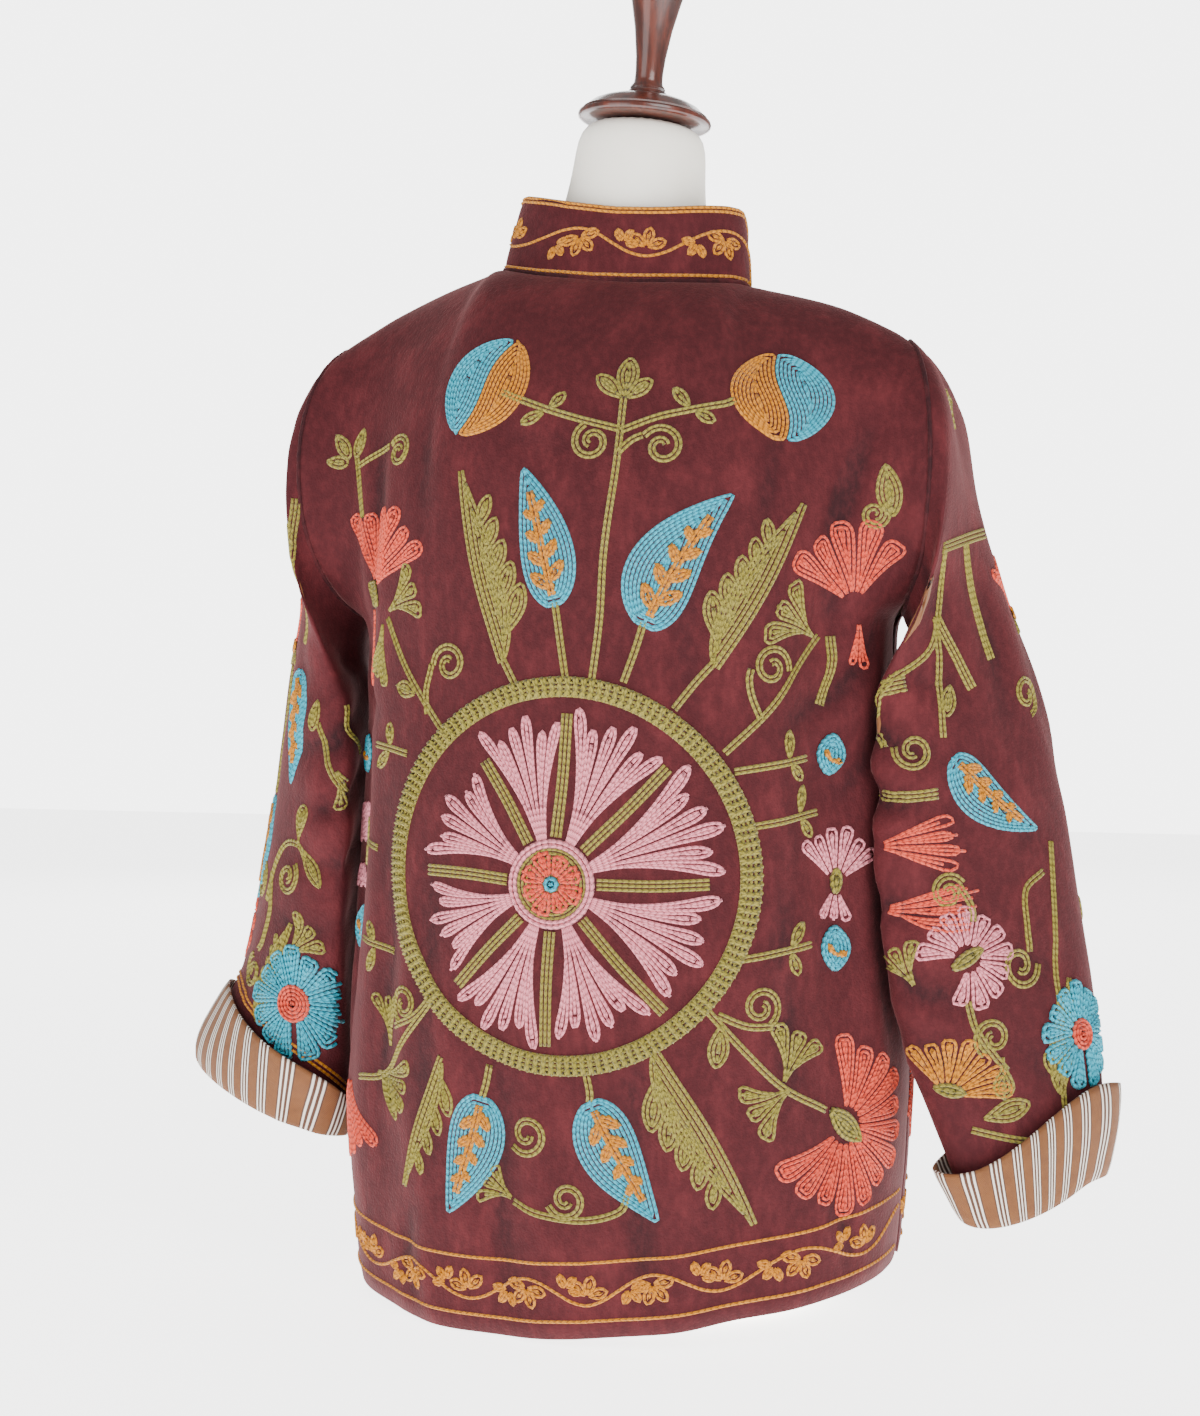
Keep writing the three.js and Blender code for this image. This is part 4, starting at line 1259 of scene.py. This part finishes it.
# the leaves and flowers under the ring
back.lay(coil(12.5, 200, 1), (43, 199), OLIVE)
back.stem([(35, 205), (40, 192), (47, 184)], OLIVE)
back.stem([(33, 208), (42, 180), (52, 152), (60, 146)], OLIVE)
back.lay(club(40, 70), (55, 152), OLIVE, 100)
back.lay(club(38, 60), (50, 168), OLIVE, -6)
back.lay(leaf(34, 14), (53, 152), OLIVE, 148)
back.lay(fan(6, 8, 58, 96, 0.8), (68, 146), CORAL, 176)
back.lay(coil(12.5, 150, -1), (-45, 207), OLIVE)
back.stem([(-36, 203), (-42, 196), (-48, 195)], OLIVE)
back.stem([(-33, 208), (-42, 180), (-50, 158), (-60, 142)], OLIVE)
back.lay(leaf(30, 14, fullest=0.6), (-37, 200), OLIVE, 188)
back.lay(club(38), (-50, 160), OLIVE, 22)
back.lay(club(36), (-52, 158), OLIVE, 238)
back.lay(fan(13, 10, 56, 262, 0.95), (-65, 131), CORAL, 122)
heart(back, (-65, 131), 132, 34, 15, OLIVE)
veined_leaf(back, (21, 149), 194, 80, 38, 6)
back.stem([(21, 148), (20, 156), (19, 168)], OLIVE)
veined_leaf(back, (-7, 151), 155, 84, 38, -7)
back.stem([(-7, 150), (-7, 156), (-6, 168)], OLIVE)
back.lay(feather(92, 24, 4, -1), (31, 170), OLIVE, 202)
back.lay(feather(120, 42, 5, 1), (-22, 182), OLIVE, 152)
back.lay(coil(13, 230, -1), (9, 128), OLIVE)
back.lay(club(26), (13, 87), OLIVE, -64)
back.lay(coil(12, 250, -1), (-1, 90), OLIVE)
back.stem([(13, 86), (6, 80), (-5, 78), (-14, 84), (-16, 94)], OLIVE)

# %% [markdown]
# A gold border runs round the hem: two ropes with a waving vine between them, a lobed leaf at each
# wave and a smaller lobed leaf beside it. It follows the hem, so its height is measured from the cut edge.
# The collar carries the same vine.

# %% Borders
def edge_of(node, highest, bin_size=3):
    """The height of a piece's cut edge, as a function of the degrees round."""
    marks = {}
    pick = max if highest else min
    for vertex in SHELLS[node].data.vertices:
        away = vertex.co - middle_at(SPINES[node], vertex.co.z)
        place = round(math.degrees(math.atan2(away.x, away.y)) / bin_size)
        marks[place] = pick(marks.get(place, vertex.co.z / MM), vertex.co.z / MM)
    order = sorted(marks)
    around = [bin_size * k for k in order]
    heights = [marks[k] for k in order]
    return lambda degrees: float(np.interp(degrees, around, heights))


def lobed_leaf(size, lobes=3):
    rows = []
    for k in range(lobes):
        rows += turned(leaf(size, size * 0.62, fullest=0.55), 60 * (k - (lobes - 1) / 2))
    return rows


def vine(work, start, stop, wave, height_of, swing, leaf_size):
    """A waving stem from start to stop degrees, with a lobed leaf in each hollow of the wave."""
    path = []
    for degrees in np.arange(start, stop + 0.1, wave / 8):
        rise = swing * math.cos(2 * math.pi * (degrees - start) / wave)
        path.append((degrees, height_of(degrees) + rise))
    work.stem(path, GOLD, 1)
    for k in range(int((stop - start) / wave * 2)):
        at = start + (k + 1) * wave / 2
        side = 1 if k % 2 else -1
        middle = height_of(at)
        flower_turn = 12 if k % 3 else -14
        foot = (at, middle + side * swing * 0.3)
        work.lay(lobed_leaf(leaf_size, 3 + k % 2), foot, GOLD, flower_turn + (180 if side > 0 else 0))
        foot = (at + wave * 0.17, middle - side * swing * 0.1)
        work.lay(lobed_leaf(leaf_size * 0.8, 3), foot, GOLD, flower_turn * 3 + (180 if side > 0 else 0))


def hem_border(work, node, start, stop):
    """Two ropes above the hem and the vine half way between them."""
    hem = edge_of(node, False)
    low, high = 11, 47
    for rise in (low, high):
        work.stem([(d, hem(d) + rise) for d in np.arange(start, stop + 0.1, 3)], GOLD, 1)
    vine(work, start, stop, 32, lambda d: hem(d) + (low + high) / 2, 8, 14)


hem_border(back, "back", -86, 86)
back.make()

collar = Needlework("collar_embroidery", GROUNDS["collar"])
collar_top = edge_of("collar", True, 12)
collar_foot = edge_of("collar", False, 12)
collar.stem([(d, collar_top(d) - 2.5) for d in ROUND_NECK], GOLD, 2)
collar.stem([(d, collar_foot(d) + 3.5) for d in ROUND_NECK], GOLD, 1)
vine(collar, -160, 160, 92, lambda d: (collar_top(d) + collar_foot(d)) / 2, 8, 14)
collar.make()

# %% [markdown]
# The fronts can't be seen in the photo. Such a jacket has smaller motifs of the same family there,
# on both sides of the opening, and the gold border runs up the front edges too.

# %% Embroidery of the fronts
OPENING = 9
CHEST_DEPTH = 128


def front_panel(name, node, side, drop):
    """Side is 1 for the wearer's left front. Drop lowers one front's motifs a little."""
    work = Needlework(name, GROUNDS[node])

    def at(degrees, height):
        return (side * degrees, height - drop)

    medallion(work, at(139, 262), at(138, 262), 64, 12 * side)
    veined_leaf(work, at(134, 336), 12 * side, 76, 36, 6 * side)
    work.stem([at(134, 338), at(137, 308)], OLIVE)
    veined_leaf(work, at(150, 344), -8 * side, 70, 32, -5 * side)
    work.stem([at(150, 346), at(148, 306)], OLIVE)
    work.lay(feather(100, 38, 5, -side), at(117, 334), OLIVE, 12 * side)
    work.stem([at(118, 332), at(126, 300)], OLIVE)
    carnation(work, at(120, 470), 0, 54, 7, 116)
    work.stem([at(120, 458), at(126, 440), at(136, 430)], OLIVE)
    bud(work, at(141, 486), 14 * side, 58, 52, TURQUOISE, GOLD)
    work.stem([at(141, 488), at(139, 452), at(143, 424)], OLIVE)
    work.lay(club(30), at(153, 452), OLIVE, 6 * side)
    work.lay(coil(12, 200, side), at(151, 424), OLIVE)
    work.lay(club(28), at(128, 548), OLIVE, -8 * side)
    work.lay(coil(11, -70, side), at(137, 548), OLIVE)
    work.lay(feather(88, 36, 4, side), at(121, 186), OLIVE, 186 * side)
    veined_leaf(work, at(139, 178), 186 * side, 70, 34, 5 * side)
    work.stem([at(139, 176), at(140, 196)], OLIVE)
    work.lay(coil(12, 20, side), at(150, 140), OLIVE)
    seam_flower(work, at(101, 150), 0, 44)
    work.lay(club(32), at(150, 176), OLIVE, 174 * side)
    heart(work, at(108, 268), 0, 30, 24, TURQUOISE)
    work.lay(couple(10), at(108, 264), GOLD, 0, 2)
    work.lay(fan(6, 6, 34, 120, 0.9), at(101, 356), PINK, 14 * side)
    work.lay(club(26), at(110, 392), OLIVE, 40 * side)
    hem_border(work, node, *((94, 176) if side > 0 else (-176, -94)))
    for inset in (5, 33):
        degrees = 180 - math.degrees(math.atan2(OPENING + inset, CHEST_DEPTH))
        work.stem([(side * degrees, height) for height in range(62, 570, 18)], GOLD, 2)
    for k in range(9):
        odd = k % 2
        leaf_place = (side * (168 - 3 * odd), 86 + 52 * k)
        work.lay(lobed_leaf(13, 3 + odd), leaf_place, GOLD, 40 * side * (-1) ** k)
        work.lay(coil(6, 90, side), (side * (166 + 3 * odd), 112 + 52 * k), GOLD)
    work.make()


front_panel("front_left_embroidery", "front_left", 1, 0)
front_panel("front_right_embroidery", "front_right", -1, 4)

# %% [markdown]
# The sleeves. What the camera sees follows the photo, and the far side of each arm repeats the
# family of motifs in another order.

# %% Embroidery of the sleeves
right_arm = Needlework("sleeve_right_embroidery", GROUNDS["sleeve_right"])
right_arm.stem([(-14, 481), (-40, 487), (-80, 491), (-116, 494)], OLIVE, 3)
right_arm.stem([(-48, 486), (-60, 450), (-76, 414)], OLIVE, 3)
right_arm.stem([(-16, 481), (-8, 450), (1, 426), (14, 412), (27, 402)], OLIVE, 2)
right_arm.stem([(-3, 440), (-18, 416), (-34, 396)], OLIVE, 3)
right_arm.stem([(-3, 440), (0, 410), (4, 366)], OLIVE, 2)
right_arm.lay(leaf(22, 12), (0, 378), OLIVE, 14)
right_arm.stem([(27, 402), (36, 388), (40, 372), (36, 360)], OLIVE)
right_arm.stem([(42, 398), (32, 396), (22, 399)], OLIVE, 4)
right_arm.lay(coil(12, -80, -1), (23, 358), OLIVE)
right_arm.stem([(44, 332), (28, 330), (12, 332)], OLIVE, 3)
veined_leaf(right_arm, (-1, 354), 134, 78, 32, -12)
right_arm.lay(fan(4, 5, 36, 70, 0.8), (42, 300), CORAL, 84)
right_arm.lay(fan(4, 5, 36, 66, 0.8), (46, 262), CORAL, 100)
right_arm.lay(coil(11, 60, -1), (14, 272), OLIVE)
right_arm.stem([(6, 276), (0, 264), (0, 254)], OLIVE)
right_arm.lay(fan(11, 7, 33, 300, 0.95), (9, 232), PINK, 55)
heart(right_arm, (9, 232), 58, 28, 9, OLIVE)
right_arm.lay(club(32), (38, 214), OLIVE, -30)
right_arm.stem([(-92, 282), (-70, 272), (-62, 252), (-60, 234)], OLIVE)
right_arm.lay(coil(14, 90, 1), (-44, 226), OLIVE)
right_arm.stem([(14, 206), (12, 190), (4, 176), (-8, 164)], OLIVE)
right_arm.lay(coil(12, 210, 1), (0, 184), OLIVE)
right_arm.lay(leaf(26, 15, fullest=0.7), (-6, 172), OLIVE, 180)
right_arm.lay(fan(7, 6, 38, 150, 0.9), (34, 148), GOLD, 24)
heart(right_arm, (32, 152), 100, 22, 9, OLIVE)
right_arm.lay(leaf(34, 15, fullest=0.6), (18, 134), OLIVE, 74)
right_arm.stem([(24, 128), (-6, 122), (-34, 120), (-52, 124)], OLIVE, 2)
right_arm.stem([(-104, 300), (-96, 260), (-86, 220), (-78, 180), (-70, 130)], OLIVE, 2)
right_arm.lay(feather(72, 34, 5, -1), (-70, 146), OLIVE, 12)
right_arm.lay(fan(13, 9, 34, 360, 0.95), (-98, 181), TURQUOISE, layer=1)
right_arm.lay(disc(10), (-98, 181), CORAL, layer=2)
right_arm.lay(coil(13, 170, -1), (-104, 392), OLIVE)
carnation(right_arm, (-140, 440), 0, 48, 7)
veined_leaf(right_arm, (-150, 330), 170, 78, 34, 8)
right_arm.stem([(-150, 330), (-146, 370), (-140, 430)], OLIVE)
bud(right_arm, (160, 350), 10, 54, 46, TURQUOISE, GOLD)
right_arm.lay(feather(84, 36, 4, 1), (150, 244), OLIVE, 8)
seam_flower(right_arm, (-170, 190), 0, 38)
right_arm.lay(club(34), (140, 180), OLIVE, 20)
right_arm.lay(coil(13, 0, 1), (-132, 256), OLIVE)
right_arm.lay(club(30), (-70, 556), OLIVE, 0)
right_arm.make()

left_arm = Needlework("sleeve_left_embroidery", GROUNDS["sleeve_left"])
left_arm.stem([(16, 520), (15, 480), (14, 425)], OLIVE, 3)
left_arm.stem([(16, 512), (50, 508), (84, 504)], OLIVE, 3)
left_arm.stem([(-30, 384), (-34, 366), (-48, 352)], OLIVE, 2)
left_arm.stem([(-14, 372), (-24, 344), (-36, 326)], OLIVE, 2)
left_arm.lay(leaf(22, 12), (-10, 366), OLIVE, 10)
left_arm.lay(club(30), (-28, 342), OLIVE, 150)
veined_leaf(left_arm, (26, 408), 174, 80, 32, 5)
left_arm.lay(leaf(28, 14, fullest=0.7), (-10, 290), OLIVE, 8)
left_arm.stem([(32, 250), (24, 276), (8, 290), (-10, 290), (-18, 280)], OLIVE, 2)
left_arm.lay(coil(12, 40, 1), (-2, 268), OLIVE)
left_arm.lay(leaf(34, 11), (-30, 262), OLIVE, -34)
left_arm.stem([(30, 270), (20, 246), (26, 224), (36, 216)], OLIVE, 2)
left_arm.lay(feather(76, 36, 5, -1), (12, 168), OLIVE, 24)
left_arm.lay(club(34), (-16, 214), OLIVE, 46)
left_arm.lay(fan(13, 11, 40, 360, 0.95), (-26, 184), TURQUOISE, layer=1)
left_arm.lay(disc(13), (-26, 184), CORAL, layer=2)
left_arm.lay(coil(12, 0, -1), (44, 200), OLIVE)
above_cuff = edge_of("cuff_left", True, 12)
for rise in (3, 7):
    left_arm.stem([(d, above_cuff(d) + rise) for d in range(-180, 181, 10)], GOLD, 1)
carnation(left_arm, (80, 420), 0, 48, 7)
veined_leaf(left_arm, (96, 320), 178, 76, 34, 8)
left_arm.stem([(80, 410), (88, 370), (94, 322)], OLIVE)
left_arm.lay(feather(84, 36, 4, -1), (140, 334), OLIVE, 8)
bud(left_arm, (150, 440), -8, 54, 46, GOLD, TURQUOISE)
seam_flower(left_arm, (120, 236), 0, 38)
left_arm.lay(coil(13, 0, 1), (70, 262), OLIVE)
left_arm.lay(club(32), (-150, 360), OLIVE, 20)
left_arm.lay(fan(7, 6, 40, 130, 0.9), (-160, 250), PINK)
left_arm.lay(club(30), (70, 556), OLIVE, 0)
left_arm.make()

# %% [markdown]
# The form's solid is right but has flat sides, so a subdivided copy of it replaces it. The cap and
# the finial are turned again from their profiles, with the beads and coves a lathe leaves.

# %% Form
torso = outer_copy("form_torso", "form_jersey", 2)
torso.data.materials.append(jersey.material)
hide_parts("form_torso")
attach(torso, "root")

# %% Cap and finial
LATHE_STEPS = 64
BEAD_DEGREES = 38
CAP_OUTLINE = [
    (0, 0.4), (39.4, 0.4), (42, 0.9), (43.4, 2), (43.8, 3.6), (43.2, 5.2), (41.4, 6.2), (40.6, 6.6),
    (40.9, 7.6), (39, 9), (35, 12.4), (30, 14.8), (24, 16.8), (19, 18), (14.4, 18.7), (0, 18.8),
]
FINIAL_OUTLINE = [
    (0, 19.4), (12.6, 19.4), (13, 20.4), (12.4, 21.6), (11, 22.2), (11.6, 23.6), (11, 25), (9.8, 26.2),
    (9.2, 29), (9.1, 34), (9.8, 44), (12.4, 62), (15.9, 78), (19.3, 92), (21.8, 106), (22.3, 118),
    (19.9, 131), (14, 142), (6.4, 147.8), (0, 149.2),
]
LEAN = math.radians(6)
NECK_TOP = Vector((-0.01188, 0.002, 0.763))
WOOD_FRAME = Matrix.Translation(NECK_TOP) @ Matrix.Rotation(-LEAN, 4, "Y")


def turn_on_lathe(name, node, outline):
    """A solid of revolution about the axis of the cap and finial."""
    profile = bpy.data.meshes.new(name)
    corners = [(r * MM, 0, h * MM) for r, h in outline]
    profile.from_pydata(corners, [(i, i + 1) for i in range(len(corners) - 1)], [])
    piece = added(name, profile)
    bpy.ops.object.mode_set(mode="EDIT")
    bpy.ops.mesh.select_all(action="SELECT")
    bpy.ops.mesh.spin(steps=LATHE_STEPS, dupli=False, angle=2 * math.pi, center=(0, 0, 0), axis=(0, 0, 1))
    bpy.ops.mesh.select_all(action="SELECT")
    bpy.ops.mesh.remove_doubles(threshold=0.00002)
    bpy.ops.mesh.normals_make_consistent(inside=False)
    bpy.ops.object.mode_set(mode="OBJECT")
    piece.data.transform(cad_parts[node].matrix_world.inverted() @ WOOD_FRAME)
    bpy.ops.object.shade_smooth_by_angle(angle=math.radians(BEAD_DEGREES))
    piece.data.materials.append(wood.material)
    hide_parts(node)
    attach(piece, "root")


turn_on_lathe("turned_cap", "form_cap", CAP_OUTLINE)
turn_on_lathe("turned_finial", "form_finial", FINIAL_OUTLINE)

# %% [markdown]

# %% [markdown]
# A white sweep and three soft lights: the studio of a catalogue picture.

# %% Studio
FLOOR_SIZE = 8
FLOOR_HEIGHT = -0.0005
CHEST = 0.4
bpy.ops.object.select_all(action="DESELECT")
bpy.ops.mesh.primitive_plane_add(size=FLOOR_SIZE, location=(0, 0, FLOOR_HEIGHT))
floor = bpy.context.object
floor.name = "floor"
paper = Finish("white paper", Roughness=0.9)
paper.shader.inputs["Base Color"].default_value = (0.92, 0.92, 0.92, 1)
paper.shader.inputs["Emission Color"].default_value = (1, 1, 1, 1)
paper.shader.inputs["Emission Strength"].default_value = 3.6
floor.data.materials.append(paper.material)


def soft_light(name, azimuth, height, distance, size, power):
    """An area light on a circle round the jacket, aimed at its chest."""
    lamp = bpy.data.lights.new(name, "AREA")
    lamp.size = size
    lamp.energy = power
    holder = bpy.data.objects.new(name, lamp)
    bpy.context.scene.collection.objects.link(holder)
    angle = math.radians(azimuth)
    holder.location = (distance * math.sin(angle), -distance * math.cos(angle), height)
    holder.rotation_euler = (Vector((0, 0, CHEST)) - holder.location).to_track_quat("-Z", "Y").to_euler()


soft_light("key", azimuth=225, height=1.7, distance=2.0, size=1.3, power=34)
soft_light("fill", azimuth=150, height=1.1, distance=2.2, size=1.6, power=20)
soft_light("front", azimuth=20, height=1.4, distance=2.4, size=1.8, power=34)

# %% [markdown]
# Behind a catalogue picture is white paper, much brighter than what it throws on the jacket. The
# world has two backgrounds for that: one is seen by the camera, and a dimmer one gives light.

# %% World
world = bpy.data.worlds.new("white room")
world.use_nodes = True
sky = world.node_tree
seen = sky.nodes["Background"]
seen.inputs["Color"].default_value = (1, 1, 1, 1)
seen.inputs["Strength"].default_value = 5
lighting = sky.nodes.new("ShaderNodeBackground")
lighting.inputs["Color"].default_value = (1, 0.99, 0.97, 1)
lighting.inputs["Strength"].default_value = 0.5
chosen = sky.nodes.new("ShaderNodeMixShader")
path_of_ray = sky.nodes.new("ShaderNodeLightPath")
sky.links.new(path_of_ray.outputs["Is Camera Ray"], chosen.inputs[0])
sky.links.new(lighting.outputs[0], chosen.inputs[1])
sky.links.new(seen.outputs[0], chosen.inputs[2])
sky.links.new(chosen.outputs[0], sky.nodes["World Output"].inputs["Surface"])
bpy.context.scene.world = world
